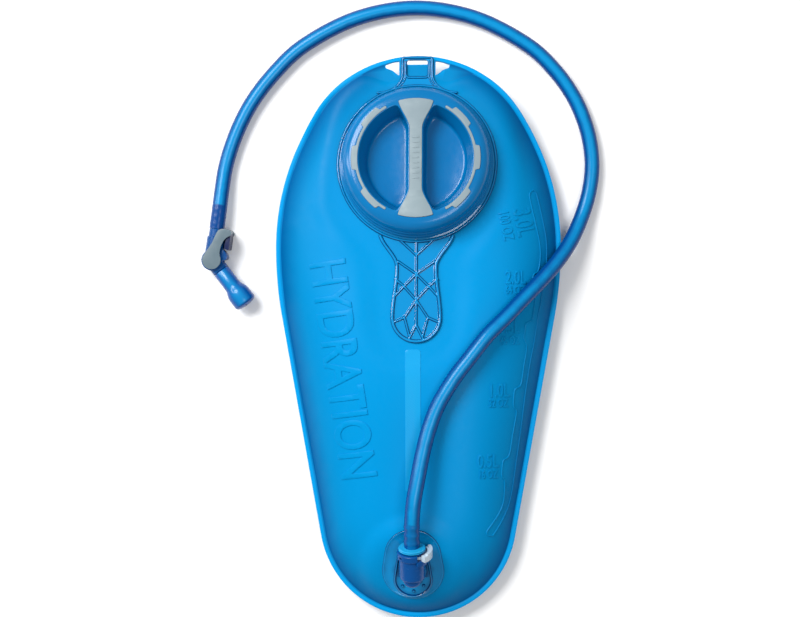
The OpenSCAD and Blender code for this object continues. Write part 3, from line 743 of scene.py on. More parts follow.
def punch_hanger(film):
    for side in (1, -1):
        slot_cutter = plate("slot", rounded([(side * x, y) for x, y in SIDE_SLOT]), -20, 20)
        place(slot_cutter, PORT)
        cut(film, slot_cutter)
    strip = plate("strip", window_outline(WINDOW_TOP - 3.2, WINDOW_TOP, 0.7), -20, 20)
    place(strip, PORT)
    cut(film, strip)


punch_hanger(front_film)
punch_hanger(back_film)
neck_cutter = rod("neck_cutter", 46.3, -12, 12, 128)
place(neck_cutter, PORT)
cut(front_film, neck_cutter)
outlet_cutter = rod("outlet_cutter", 6.3, -8, 8, 48)
place(outlet_cutter, OUTLET)
cut(front_film, outlet_cutter)
for film in (front_film, back_film):
    smooth_by_angle(film, 40)
finish_piece(front_film, film_blue, "bladder", "film", "front_panel")
finish_piece(back_film, film_back, "bladder", "film", "back_panel")

# %% [markdown]
# ## Marks in the film
# The welding tool also presses marks into the sheet: a long gauge channel down the right side with
# a step at each level, its numbers, and a large plain word on the left. They are modelled flat,
# cut into small faces, and laid on the dome, so they follow its curve.

# %% Laying marks on the film
film_tree = BVHTree.FromObject(front_film, bpy.context.evaluated_depsgraph_get())
film_tint_and_shade = np.zeros(len(front_film.data.vertices), np.float32)
front_film.data.attributes["rim_tint_and_shade"].data.foreach_get("value", film_tint_and_shade)


def film_at(x, y):
    """Height of the film's outer face here, in metres, and its shade."""
    hit, _, index, _ = film_tree.ray_cast(Vector((x, y, 0.2)), Vector((0, 0, -1)))
    if hit is None:
        return SEAM_Z * MM, 0.9
    corners = front_film.data.polygons[index].vertices
    return hit.z, float(np.mean([film_tint_and_shade[v] for v in corners]))


def cut_small(obj, step):
    """Cuts a flat mark into faces of about this size in mm, so that it can bend."""
    mesh = bmesh.new()
    mesh.from_mesh(obj.data)
    for axis in (0, 1):
        values = [v.co[axis] for v in mesh.verts]
        count = int((max(values) - min(values)) / (step * MM))
        for k in range(1, count + 1):
            place_at = [0, 0, 0]
            place_at[axis] = min(values) + k * (max(values) - min(values)) / (count + 1)
            bmesh.ops.bisect_plane(mesh, geom=mesh.verts[:] + mesh.edges[:] + mesh.faces[:], dist=1e-7,
                                   plane_co=place_at, plane_no=[float(axis == 0), float(axis == 1), 0])
    mesh.to_mesh(obj.data)
    mesh.free()


def lay_on_film(obj):
    shade = obj.data.attributes.new("rim_tint_and_shade", "FLOAT", "POINT")
    values = []
    for vertex in obj.data.vertices:
        height, value = film_at(vertex.co.x, vertex.co.y)
        vertex.co.z += height
        values.append(value)
    shade.data.foreach_set("value", values)
    obj.data.update()


def emboss(body, at, turn_by, size, squeeze, rise=0.4, step=3):
    """A raised word. at is the middle in mm, size the height of its capitals in mm."""
    start_piece()
    bpy.ops.object.text_add(location=(0, 0, 0))
    obj = bpy.context.object
    text = obj.data
    text.body = body
    text.align_x, text.align_y = "CENTER", "CENTER"
    text.size = size * MM / 0.7
    text.extrude = (rise + 0.5) / 2 * MM
    text.bevel_depth = 0.18 * MM
    text.bevel_resolution = 1
    text.offset = (0.02 if size > 20 else 0.008) * size * MM
    text.resolution_u = 5
    bpy.ops.object.convert(target="MESH")
    obj = bpy.context.object
    obj.name = "mark " + body
    scale = Matrix.Diagonal((squeeze, 1, 1, 1))
    place(obj, Matrix.Translation((at[0] * MM, at[1] * MM, (rise - 0.5) / 2 * MM))
          @ Matrix.Rotation(math.radians(turn_by), 4, "Z") @ scale)
    tidy_mesh(obj)
    cut_small(obj, step)
    lay_on_film(obj)
    return obj


# %% [markdown]
# The levels are plain litre and ounce figures. The top one turns with the edge, as there is less
# room beside the fill port.

# %% The gauge and the word
marks = []
for litres, ounces, at, small_at, turn_by in (
        ("3.0L", "100 OZ", (73, 79.5), (61, 77), -78), ("2.0L", "64 OZ", (68, 41), (67.5, 32.5), 0),
        ("1.5L", "48 OZ", (63.5, 7), (64, -2), 0), ("1.0L", "32 OZ", (56.5, -36.5), (56, -45), 0),
        ("0.5L", "16 OZ", (49, -85), (49, -94), 0)):
    big = 12 if turn_by else 9
    marks.append(emboss(litres, at, turn_by, big, 0.66))
    marks.append(emboss(ounces, small_at, turn_by, big * 0.6, 0.62))
marks.append(emboss("HYDRATION", (-52, -22), -81.4, 25, 0.74, rise=0.45, step=4))

GAUGE_LEFT = [(80, 102), (77.5, 98.5), (79, 90), (82, 77), (84.5, 65), (85, 55.5), (83.5, 46), (80.5, 43.5),
              (79.5, 38), (80, 32), (81.5, 28.5), (80.5, 20), (79, 12), (75, 9.5), (74, 4), (73.5, -1), (75.5, -6.5),
              (73.5, -20), (71.5, -32.5), (67.5, -35.5), (66.5, -42.5), (66.5, -47.5), (68.5, -51.5), (66, -66.5),
              (63.5, -81), (59.5, -84.5), (58.5, -91), (58.5, -96), (60.5, -99.5), (59.5, -114), (55.5, -123),
              (48.5, -133), (48.5, -136), (51.5, -136.8)]
GAUGE_RIGHT = [(80, 102), (82.5, 98.5), (86, 84), (88.8, 70), (89.5, 59.5), (89, 47.5), (87, 36.5), (85.5, 25.5),
               (83.5, 15), (81, -2), (77.8, -18.5), (74.5, -40.5), (71.5, -64.5), (68.5, -85.5), (65, -109.5),
               (60.5, -123), (53.5, -135), (51.5, -136.8)]
for name, points in (("gauge_left", GAUGE_LEFT), ("gauge_right", GAUGE_RIGHT)):
    line = smooth_route([Vector((*p, 0)) * MM for p in points], 5)
    marks.append(pipe(name, [Vector((p.x, p.y, film_at(p.x, p.y)[0])) for p in line], 0.55, sides=10))
    marks[-1].data.attributes.new("rim_tint_and_shade", "FLOAT", "POINT").data.foreach_set(
        "value", [film_at(v.co.x, v.co.y)[1] for v in marks[-1].data.vertices])
film_marks = join(marks, "film_marks")
smooth_by_angle(film_marks, 35)
finish_piece(film_marks, film_blue, "bladder", "film")

# %% [markdown]
# ## Middle baffle
# A strip inside joins both films along the middle, so the bag stays flat instead of turning into a
# barrel. Its weld shows on the front as a paler band with a fine ribbed print from the tool.

# %% The baffle and its weld
BAND_W, BAFFLE = 10.5, (-106, -8)
BAND_X = OUTLET_X + 0.4


def weld_band(name, low, rise):
    """The band as a strip with rounded ends, in small faces, laid on the film."""
    half = BAND_W / 2
    length = BAFFLE[1] - BAFFLE[0]
    outline = rounded([(-half, BAFFLE[0]), (half, BAFFLE[0]), (half, BAFFLE[0] + length), (-half, BAFFLE[0] + length)], 2)
    obj = plate(name, [(x + BAND_X, y) for x, y in outline], low, rise)
    bevel(obj, 0.15, 2)
    apply_all(obj)
    cut_small(obj, 2.5)
    lay_on_film(obj)
    return obj


band_print, band_tree, band_shader = finish("band_print", 0.34, Specular_IOR_Level=0.15)
band_tree.links.new(ramp(band_tree, noise(band_tree, 40), [(0.3, (0.002, 0.29, 0.62)), (0.7, (0.003, 0.31, 0.63))]),
                    band_shader.inputs["Base Color"])
ribs_place = add(band_tree, "ShaderNodeTexWave", Scale=330, Distortion=0.0, bands_direction="DIAGONAL")
band_tree.links.new(band_tree.nodes["Texture Coordinate"].outputs["Object"], ribs_place.inputs["Vector"])
bump(band_tree, band_shader, ribs_place.outputs["Fac"], 0.3, 0.0001)
band = weld_band("baffle_weld", -0.5, 0.28)
smooth_by_angle(band, 40)
finish_piece(band, band_print, "bladder", "film")

start_piece()
bpy.ops.mesh.primitive_grid_add(x_subdivisions=48, y_subdivisions=16, size=1)
baffle = bpy.context.object
baffle.name = "centre_baffle_web"
for vertex in baffle.data.vertices:
    u, v = vertex.co.x + 0.5, vertex.co.y + 0.5
    y = mix(BAFFLE[0], BAFFLE[1], u)
    top = film_at(OUTLET_X * MM, y * MM)[0] / MM - FILM_T - 0.2
    # The web bows a little and spreads into both welds.
    bow = 0.8 * math.sin(math.pi * v) * math.sin(3 * math.pi * u)
    vertex.co = ((OUTLET_X + bow) * MM, y * MM, mix(FILM_T + 0.15, top, v) * MM)
modifier = baffle.modifiers.new("wall", "SOLIDIFY")
modifier.thickness = FILM_T * MM
modifier.offset = 0
apply_all(baffle)
for y in (-30, -57, -84):
    hole = rod("hole", 7, -8, 8, 40)
    place(hole, Matrix.Translation(Vector((OUTLET_X, y, 20)) * MM) @ Matrix.Rotation(math.pi / 2, 4, "Y"))
    cut(baffle, hole)
tidy_mesh(baffle)
smooth_by_angle(baffle, 40)
finish_piece(baffle, film_back, "bladder", "film", "centre_baffle")

# %% [markdown]
# ## Filling neck and seal
# The neck is a stiff moulded ring, welded into the film from inside. Two lugs outside it hold the
# lid, each with a sloped start that draws the lid down, and the rim is rounded to meet the seal.

# %% The neck
def ring_plate(name, r_in, r_out, low, high, start, end, steps=36):
    """A flat piece of a ring between two angles in degrees."""
    outline = arc(r_out, start, end, steps) + arc(r_in, end, start, steps)
    return plate(name, outline, low, high)


neck = turn("neck", [(42.5, -3), (48.3, -3), (48.5, -2.8), (48.5, -1.1), (48.3, -0.9), (46, -0.9), (46, 13.2),
                     (45.8, 13.7), (45.3, 14), (43.2, 14), (42.7, 13.7), (42.5, 13.2)], 128, closed=True)
for turn_by in (0, 180):
    lug = ring_plate("lug", 45.6, 48.5, 8, 11, turn_by - 39, turn_by + 39)
    for vertex in lug.data.vertices:
        angle = abs((math.degrees(math.atan2(vertex.co.y, vertex.co.x)) - turn_by + 180) % 360 - 180)
        if vertex.co.z < 9 * MM:
            vertex.co.z += 1.2 * MM * smooth((angle - 27) / 12)
    bevel(lug, 0.35, 2)
    apply_all(lug)
    neck = join([neck, lug], "neck")
place(neck, PORT)
smooth_by_angle(neck, 35)
finish_piece(neck, neck_clear, "bladder", "neck", "port_neck")

gasket = turn("gasket", [(42.8, 14.5), (43.0, 14.2), (45.4, 14.2), (45.7, 14.5), (45.7, 14.9), (45.3, 15.3), (44.6, 15.0),
                         (43.9, 15.0), (43.2, 15.3), (42.8, 14.9)], 128, closed=True)
place(gasket, PORT)
smooth_by_angle(gasket, 60)
finish_piece(gasket, seal_pale, "lid_seal", "seal", "lid_gasket")

# %% [markdown]
# ## Hanger and filling handle
# One clear moulding: a flange round the neck, a bridge that carries the hanger window, and a handle
# whose lattice keeps it stiff while it stays light. Real ribs run into each other with small
# fillets. Thin plates and round ribs are laid over each other, fused into one skin and relaxed,
# which gives those fillets.

# %% The flange
FLANGE_R, FLANGE_T = 55.5, 2.0
flange = turn("flange", [(46.2, 0), (55.2, 0), (55.5, 0.3), (55.5, 1.6), (55.1, 2.15), (54.5, 2.3), (53.9, 2.1),
                         (53.5, 1.55), (53.2, 1.55), (52.8, 1.8), (46.5, 1.8), (46.2, 1.5)], 144, closed=True)
store_steep(flange)
place(flange, PORT)
smooth_by_angle(flange, 50)
finish_piece(flange, clear_blue, "bladder", "clear_moulding")

# %% The handle's outline and ribs
HANGER_W, HANDLE_W, HANDLE_NECK_W, RIB_W = 22.4, 35, 29, 2.4
BRIDGE_START, BRIDGE_NECK, BRIDGE_TOP, BRIDGE_FLARE = 49.5, 63, 75.4, 17.3
HANDLE_MID, HANDLE_JOIN = -107, -50


def bridge_half(y):
    t = min(max((BRIDGE_NECK - y) / (BRIDGE_NECK - BRIDGE_START), 0), 1)
    return HANGER_W / 2 + BRIDGE_FLARE * (1 - math.sqrt(1 - t * t))


def handle_half(y):
    return mix(HANDLE_W, HANDLE_NECK_W, smooth((y - HANDLE_MID) / 34)) / 2 + 12 * smooth((y + 72) / 24)


def mirrored(points):
    return points + [(-x, y) for x, y in reversed(points)]


def handle_outline(set_in=0):
    return mirrored(arc(HANDLE_W / 2 - set_in, -85, 0, 20, (0, HANDLE_MID))
                    + [(handle_half(y) - set_in, y) for y in np.linspace(HANDLE_MID, HANDLE_JOIN, 32)[1:]])


RIBS = [((0, -108), (0, -50)), ((0, -64), (13, -52)), ((0, -77), (8.5, -85.5)), ((8.5, -85.5), (0, -95)),
        ((0, -77), (13, -68)), ((8.5, -85.5), (15, -80)), ((8.5, -85.5), (14.5, -92)), ((0, -95), (8, -107)),
        ((8, -107), (15, -110)), ((0, -112), (5, -122)), ((8, -107), (4.5, -120)), ((0, -112), (0, -105))]


def bar(name, points, radius, z, flat=0.8):
    """A round rib along points in mm, slightly flattened."""
    obj = pipe(name, [Vector((x, y, 0)) * MM for x, y in points], radius, sides=12)
    for vertex in obj.data.vertices:
        vertex.co.z = vertex.co.z * flat + z * MM
    return obj


# %% Fusing the moulding
parts = [plate("handle_web", handle_outline(0.4), 0.0, 0.9)]
rim = handle_outline(1.15)
middle = len(rim) // 2
parts += [bar("rim", rim[:middle], 1.25, 1.1), bar("rim", rim[middle:], 1.25, 1.1),
          bar("rim", arc(HANDLE_W / 2 - 1.15, -100, -80, 8, (0, HANDLE_MID)), 1.25, 1.1)]
for a, b in RIBS:
    for side in ((1,) if a[0] == b[0] == 0 else (1, -1)):
        parts.append(bar("rib", [(side * a[0], a[1]), (side * b[0], b[1])], 0.85, 1.15, 1.0))
bridge_side = [(bridge_half(y), y) for y in np.linspace(BRIDGE_START, BRIDGE_NECK, 16)]
bridge_outline = mirrored(bridge_side + [(HANGER_W / 2, BRIDGE_TOP - 1.5), (HANGER_W / 2 - 1.5, BRIDGE_TOP)])
bridge = plate("bridge", bridge_outline, 0.0, 1.3)
window = plate("window", window_outline(WINDOW_TOP - WINDOW_L, WINDOW_TOP, 2.2), -2, 5)
cut(bridge, window)
parts.append(bridge)
for side in (1, -1):
    edge = [(side * (x - 0.9), y) for x, y in bridge_side] + [(side * (HANGER_W / 2 - 0.9), y) for y in (68, 73)]
    edge += [(side * (HANGER_W / 2 - 1.6), BRIDGE_TOP - 1.0), (side * 4, BRIDGE_TOP - 0.9), (0, BRIDGE_TOP - 0.9)]
    parts.append(bar("rail", edge, 0.9, 1.15, 1.0))
    inner = [(side * (x - 3.4), y + 0.3) for x, y in bridge_side[:-2]]
    parts.append(bar("bead", inner, 0.55, 1.3, 1.0))
    frame_side = [(side * p[0], p[1]) for p in ((0, 60.2), (6.4, 60.3), (8.2, 62.2), (8.3, 72))]
    parts.append(bar("window_rim", frame_side, 0.7, 1.3, 1.0))
handle = join(parts, "handle_and_hanger")
only(handle)
handle.data.remesh_voxel_size = 0.3 * MM
handle.data.remesh_voxel_adaptivity = 0
bpy.ops.object.voxel_remesh()
relax = handle.modifiers.new("relax", "SMOOTH")
relax.factor, relax.iterations = 0.5, 2
thin = handle.modifiers.new("thin", "DECIMATE")
thin.ratio = 0.5
apply_all(handle)
for vertex in handle.data.vertices:
    vertex.co.z = max(vertex.co.z, 0.02 * MM)
store_steep(handle)
place(handle, PORT)
only(handle)
bpy.ops.object.shade_smooth()
finish_piece(handle, clear_blue, "bladder", "clear_moulding", "handle_frame")

# %% [markdown]
# ## Lid
# A deep screw lid, moulded in one colour. Its outside is turned. The two finger pockets have a
# drafted outer wall, a nearly upright wall at the grip bar and a round fillet at the floor, so each
# is a stack of D-shaped loops that is cut out of the turned body.

# %% Pocket loops
LID_TOP, POCKET_FLOOR = 21.5, 5.5
BAR_END_W, BAR_WAIST_W, BAR_L, BAR_FLARE = 26, 10.3, 82, 21


def bar_half(y):
    return mix(BAR_WAIST_W, BAR_END_W, smooth((abs(y) - (BAR_L / 2 - BAR_FLARE)) / BAR_FLARE)) / 2


def soft_min(a, b, k):
    h = min(max(0.5 + 0.5 * (b - a) / k, 0), 1)
    return b + (a - b) * h - k * h * (1 - h)


def pocket_loop(radius, set_in, corner=3.5, count=120):
    """The D of one pocket at one height: inside this radius and this far from the grip bar."""
    loop = []
    for k in range(count):
        angle = 2 * math.pi * k / count
        near_r, far_r = 0.0, 45.0
        for _ in range(30):
            r = (near_r + far_r) / 2
            x, y = 20 + r * math.cos(angle), r * math.sin(angle)
            inside = soft_min(radius - math.hypot(x, y), x - bar_half(y) - set_in, corner) > 0
            near_r, far_r = (r, far_r) if inside else (near_r, r)
        loop.append((20 + near_r * math.cos(angle), near_r * math.sin(angle)))
    return loop


def loft_mesh(name, loops):
    """Closes a stack of loops, each a list of points and a height, all in mm."""
    mesh = bmesh.new()
    rows = [[mesh.verts.new((x * MM, y * MM, z * MM)) for x, y in points] for points, z in loops]
    for low, high in zip(rows, rows[1:]):
        for k in range(len(low)):
            j = (k + 1) % len(low)
            mesh.faces.new((low[k], low[j], high[j], high[k]))
    mesh.faces.new(list(reversed(rows[0])))
    mesh.faces.new(rows[-1])
    data = bpy.data.meshes.new(name)
    mesh.to_mesh(data)
    mesh.free()
    obj = bpy.data.objects.new(name, data)
    bpy.context.collection.objects.link(obj)
    tidy_mesh(obj)
    return obj


def pocket_cutter(side):
    RIM, FLOOR, LIP, FILLET = 38.8, 34.4, 0.7, 2.6
    levels = [(RIM + LIP, -LIP, LID_TOP + 2)]
    levels += [(RIM + LIP * (1 - math.sin(a)), -LIP * (1 - math.sin(a)), LID_TOP - LIP * (1 - math.cos(a)))
               for a in np.radians(np.linspace(0, 90, 6))]
    for t in (0.33, 0.66):
        levels.append((mix(RIM, FLOOR, t), 0.8 * t, mix(LID_TOP - LIP, POCKET_FLOOR + FILLET, t)))
    levels += [(FLOOR - FILLET * (1 - math.cos(a)), 0.8 + FILLET * (1 - math.cos(a)),
                POCKET_FLOOR + FILLET * (1 - math.sin(a))) for a in np.radians(np.linspace(0, 84, 8))]
    loops = [([(side * x, y) for x, y in pocket_loop(r, b)], z) for r, b, z in levels]
    return loft_mesh("pocket", loops)


# %% Lid body
lid = turn("lid", [(0.4, 3.1), (41.2, 3.1), (41.6, 3.5), (41.6, 15.6), (49.1, 15.6), (49.1, 2.9), (49.4, 2.6),
                   (51.9, 2.6), (52.5, 3.2), (52.5, 6.6), (52.3, 7.1), (51.5, 7.5), (51.3, 7.9), (51.3, 11.2),
                   (51.1, 11.7), (50.5, 12.0), (50.4, 12.4)]
           + [(r, z) for r, z in arc(7.6, 4, 86, 12, (42.8, 13.75))]
           + [(42.9, 21.42), (42.0, 21.5), (38, 21.5), (20, 21.5), (0.4, 21.5)], 144)
for side in (1, -1):
    cut(lid, pocket_cutter(side))
hollow = plate("hollow", mirrored([(bar_half(y) - 2.6, y) for y in np.linspace(-36, 36, 33)]), 0, 18.6)
cut(lid, hollow)
for turn_by in (0, 180):
    lug = ring_plate("lid_lug", 46.5, 49.3, 4.2, 7.6, turn_by - 39, turn_by + 39)
    bevel(lug, 0.3, 2)
    apply_all(lug)
    lid = join([lid, lug], "lid")

# %% [markdown]
# The grip surfaces are a second, softer and paler shot of plastic, set in shallow grooves in the
# crown. Their thin shadow lines come from real gaps.

# %% Grip bar and grip bands
def bar_shape(name, set_in, reach, low, high):
    """The hourglass with ends that follow the lid's round."""
    sides = [(bar_half(y) - set_in, y) for y in np.linspace(-reach, reach, 61)]
    sides = [p for p in sides if math.hypot(*p) < reach - 0.3]
    corner = math.degrees(math.atan2(sides[-1][1], sides[-1][0]))
    top = arc(reach, corner, 180 - corner, 16)
    outline = sides + top + [(-x, y) for x, y in reversed(sides)] + arc(reach, 180 + corner, 360 - corner, 16)
    return plate(name, rounded(outline, 0.5, 1), low, high)


def band_outline(grow):
    """A band with three tabs, in the right half of the lid."""
    r_in, r_out, r_tab = 39.75 - grow, 41.4 + grow, 44 + grow
    points = []
    for start, end in ((-52, -32), (-10.5, 10.5), (32, 52)):
        points += [Vector(p) for p in arc(r_tab, start - grow, end + grow, 8)]
        if end < 50:
            nxt = -10.5 if end < 0 else 32
            points += [Vector(p) for p in arc(r_out, end + grow + 1.2, nxt - grow - 1.2, 8)]
    points = [Vector(p) for p in arc(r_out, -60 - grow, -53.2 - grow, 3)] + points
    points += [Vector(p) for p in arc(r_out, 53.2 + grow, 60 + grow, 3)]
    points += [Vector(p) for p in arc(r_in, 60 + grow, -60 - grow, 60)]
    return rounded([(p.x, p.y) for p in points], 0.4, 1)


cut(lid, bar_shape("groove", 0.85, 41.2, 20.6, 25))
for side in (1, -1):
    groove = plate("groove", [(side * x, y) for x, y in band_outline(0.15)], 20.6, 25)
    cut(lid, groove)
tidy_mesh(lid)
place(lid, PORT)
smooth_by_angle(lid, 32)
finish_piece(lid, lid_blue, "lid", "lid", "lid_shell")

grip = bar_shape("grip", 1.0, 41, 20.6, 22.1)
bevel(grip, 0.45, 3, 50)
apply_all(grip)
ridges = []
for y in np.linspace(-14, 14, 9):
    ridge = block("ridge", (4.6, 1.1, 0.5), (0, float(y), 22.15))
    bevel(ridge, 0.2, 2)
    apply_all(ridge)
    ridges.append(ridge)
grip = join([grip, *ridges], "grip")
place(grip, PORT)
smooth_by_angle(grip, 40)
finish_piece(grip, grip_grey, "lid", "grip", "grip_bar")
for side, name in ((1, "right_grip_band"), (-1, "left_grip_band")):
    strip = plate(name + "_visual", [(side * x, y) for x, y in band_outline(0)], 20.6, 21.85)
    bevel(strip, 0.28, 3, 50)
    apply_all(strip)
    place(strip, PORT)
    smooth_by_angle(strip, 40)
    finish_piece(strip, grip_grey, "lid", "grip", name)

# %% [markdown]
# ## Outlet
# A thin egg-shaped patch spreads the load of the outlet over the film. On it sits a clear moulded
# base with a raised lip, and in the base a dark quick-connect socket that lies along the bag.

# %% Patch and base
def egg_outline(low_r, low_y, high_r, high_y):
    """A circle at each end with tangent sides."""
    lean = math.degrees(math.asin((low_r - high_r) / (high_y - low_y)))
    return arc(high_r, lean, 180 - lean, 30, (0, high_y)) + arc(low_r, 180 - lean, 360 + lean, 40, (0, low_y))


def egg_stack(name, steps):
    """A moulding made of egg outlines. Each step is how far it is set in, and its height."""
    low_r, low_y, high_r, high_y = steps[0]
    return loft_mesh(name, [(egg_outline(low_r - s, low_y, high_r - s, high_y), z) for s, z in steps[1:]])


patch = egg_stack("patch", [(21.3, -0.5, 19.4, 11.5), (0, 0.02), (0, 0.5), (0.25, 0.75), (0.7, 0.85), (1.2, 0.75),
                            (1.6, 0.5), (5, 0.5)])
hole = rod("hole", 6.3, -2, 4)
cut(patch, hole)
store_steep(patch)
place(patch, OUTLET)
smooth_by_angle(patch, 45)
finish_piece(patch, clear_blue, "bladder", "film", "outlet_patch")

base = egg_stack("base", [(13.5, -6.4, 11, 9.7), (0, 0.6), (0, 1.9), (0.3, 2.5), (0.8, 2.75), (1.3, 2.5), (1.6, 1.9),
                          (1.9, 1.5), (6, 1.5)])
boss = turn("boss", [(0.4, 0.7), (9.6, 0.7), (9.6, 2.6), (9.3, 3.1), (8.7, 3.2), (0.4, 3.2)], 72)
place(boss, Matrix.Translation((0, MM, 0)))
cut(base, boss, "UNION")
spigot = rod("spigot", 6, -5, 1)
cut(base, spigot, "UNION")
for cutter, at in ((rod("way", 3.4, -6, 12), (0, 0)), (rod("seat", 6.7, 2.1, 8), (0, MM))):
    place(cutter, Matrix.Translation((*at, 0)))
    cut(base, cutter)
saddle = rod("saddle", 9.15, 0, 30, 72)
place(saddle, Matrix.Translation((0, 0, SOCKET_H * MM)) @ Matrix.Rotation(-math.pi / 2, 4, "X"))
cut(base, saddle)
bumps = []
for x, y in ((-7.4, -11.4), (7.2, -11), (0.2, -15.2)):
    bump_post = turn("bump", [(0.05, 0.7), (1.2, 0.7), (1.2, 2.1), (0.9, 2.6), (0.05, 2.8)], 24)
    place(bump_post, Matrix.Translation(Vector((x, y, 0)) * MM))
    bumps.append(bump_post)
base = join([base, *bumps], "outlet_base")
store_steep(base)
place(base, OUTLET)
smooth_by_angle(base, 40)
finish_piece(base, clear_blue, "bladder", "clear_moulding", "outlet_port")

# %% [markdown]
# The socket is a turned barrel with a collar, fused with an upright elbow. Flats, a blind slot on
# the left and the mouth's chamfer are the marks of its mould.

# %% Socket
def sector(inner, outer, start, end):
    """Part of a ring."""
    return arc(outer, start, end, 24) + list(reversed(arc(inner, start, end, 24)))


barrel = turn("barrel", [(0.3, 0.2), (7.7, 0.2), (8.5, 0.5), (8.9, 1.1), (9, 2), (9, 15.2), (9.3, 15.5), (10.1, 15.7),
                         (10.4, 16.1), (10.4, 19.8), (10, 20.3), (9.4, 20.5), (6.0, 20.5), (5.2, 19.7), (5.2, 8.5),
                         (2.5, 8.5), (2.5, 7.5), (4, 7.5), (4, 0.6), (0.3, 0.6)], 96)
place(barrel, SOCKET)
elbow = turn("elbow", [(0.3, 2.2), (6.2, 2.2), (6.5, 2.5), (6.5, 14), (6.2, 16.2), (5.2, 17.4), (3.6, 17.9), (0.3, 18)], 72)
place(elbow, OUTLET @ Matrix.Translation((0, MM, 0)))
cut(barrel, elbow, "UNION")
for radius, low, high in ((4.02, 0.58, 7.48), (2.52, 7.3, 8.7)):
    chamber = rod("chamber", radius, low, high, 64)
    place(chamber, SOCKET)
    cut(barrel, chamber)
slot_cut = block("slot", (4.4, 2.6, 1.5), (-8.9, 0, 17.9))
bevel(slot_cut, 0.4, 2)
apply_all(slot_cut)
place(slot_cut, SOCKET @ Matrix.Rotation(math.radians(42), 4, "Z"))
cut(barrel, slot_cut)
latch_slot = block("latch_slot", (20, 13, 2.6), (2.6, 0, 17.6))
place(latch_slot, SOCKET)
cut(barrel, latch_slot)
recess = plate("recess", sector(7.6, 18, -67, 46), 16.3, 21)
place(recess, SOCKET)
cut(barrel, recess)
way = rod("way", 3, 1, SOCKET_H, 48)
place(way, OUTLET)
cut(barrel, way)
tongue = plate("tongue", sector(8.4, 11.2, -70, 44), 13, 16.1)
bevel(tongue, 0.45, 3, 50)
apply_all(tongue)
place(tongue, SOCKET)
barrel = join([barrel, tongue], "socket")
smooth_by_angle(barrel, 35)
finish_piece(barrel, socket_blue, "bladder", "socket", "socket_body")

# %% [markdown]
# The latch is one moulded piece: a plate with an oval hole that hooks the plug, and the button head
# that the thumb presses. Two small coil springs push it back.

# %% Latch and its springs
latch = block("latch_plate", (15, 12.2, 2.0), (3.7, 0, 17.6))
for side in (1, -1):
    corner = block("corner", (8, 4, 4), (11.2, side * 7.2, 17.6))
    place(corner, Matrix.Rotation(math.radians(side * 18), 4, "Z"))
    cut(latch, corner)
hole = plate("hole", rounded([(-8, -5.2), (2.4, -5.2), (2.4, 5.2), (-8, 5.2)], 0.1), 10, 25)
hole_end = rod("hole_end", 5.2, 10, 25, 64)
place(hole_end, Matrix.Translation((2.4 * MM, 0, 0)))
cut(latch, hole)
cut(latch, hole_end)
head = plate("latch_head", sector(10.5, 14, -50, 30), 16.7, 20.9)
bevel(head, 0.8, 4, 50)
apply_all(head)
head_top = plate("latch_head_top", sector(11.9, 14, -38, 28), 18, 22.2)
bevel(head_top, 0.9, 4, 50)
apply_all(head_top)
for z in (-1.2, 0, 1.2):
    groove = rod("groove", 0.32, -3, 3, 16)
    place(groove, Matrix.Translation(Vector((14.15, 0, 20 + z)) * MM) @ Matrix.Rotation(math.pi / 2, 4, "X"))
    cut(head_top, groove)
latch = join([latch, head, head_top], "latch")
bevel(latch, 0.12, 1, 60)
apply_all(latch)
place(latch, SOCKET)
smooth_by_angle(latch, 40)
finish_piece(latch, button_grey, "latch", "lever", "latch_button")


def coil(name, radius, wire, low, high, turns, matrix):
    """A compression spring along Z with closed ends."""
    points = []
    count = int(turns * 20)
    for k in range(count + 1):
        angle = 2 * math.pi * turns * k / count
        rise = smooth(min(k / count * 1.0, 1.0))
        points.append(matrix @ (Vector((radius * math.cos(angle), radius * math.sin(angle),
                                        mix(low + wire, high - wire, float(rise)))) * MM))
    return pipe(name, points, wire, sides=8)


springs = [coil("spring", 0.42, 0.1, -7.1, -4.1, 7, SOCKET @ Matrix.Translation(Vector((0, y, 17.6)) * MM)
                @ Matrix.Rotation(math.pi / 2, 4, "Y")) for y in (-5.7, 5.7)]
latch_coils = join(springs, "latch_coils")
only(latch_coils)
bpy.ops.object.shade_smooth()
finish_piece(latch_coils, spring_steel, "bladder", "spring", "latch_spring")
poppet_coil = coil("poppet_coil", 1.85, 0.22, 0.7, 3.5, 4.5, SOCKET)
only(poppet_coil)
bpy.ops.object.shade_smooth()
finish_piece(poppet_coil, spring_steel, "bladder", "spring", "poppet_spring")

# %% [markdown]
# Behind the plug a spring-loaded poppet shuts the water off when the hose is pulled out. It is a
# small disc with a guide stem and a soft ring.

# %% Poppet
poppet = turn("poppet", [(0.05, 1.4), (0.7, 1.4), (0.9, 1.7), (0.9, 3.5), (1.1, 3.6), (3.1, 3.6), (3.3, 3.8), (3.3, 4.6),
                         (3.1, 4.8), (0.05, 4.8)], 48)
place(poppet, SOCKET)
smooth_by_angle(poppet, 40)
finish_piece(poppet, inner_white, "check", "inner", "check_poppet")
soft_ring = turn("soft_ring", [(1.5, 4.82), (3.1, 4.82), (3.2, 5.0), (3.0, 5.2), (2.4, 5.25), (1.7, 5.2), (1.5, 5.0)],
                 48, closed=True)
place(soft_ring, SOCKET)
smooth_by_angle(soft_ring, 60)
finish_piece(soft_ring, seal_black, "check", "dark_seal", "poppet_seal")

# %% [markdown]
# ## Plug
# The hose end is a turned plug: a nose with a seal groove, a flange to pull on, and a barb whose
# three ridges hold the tube. Four ports behind the nose let the water in.

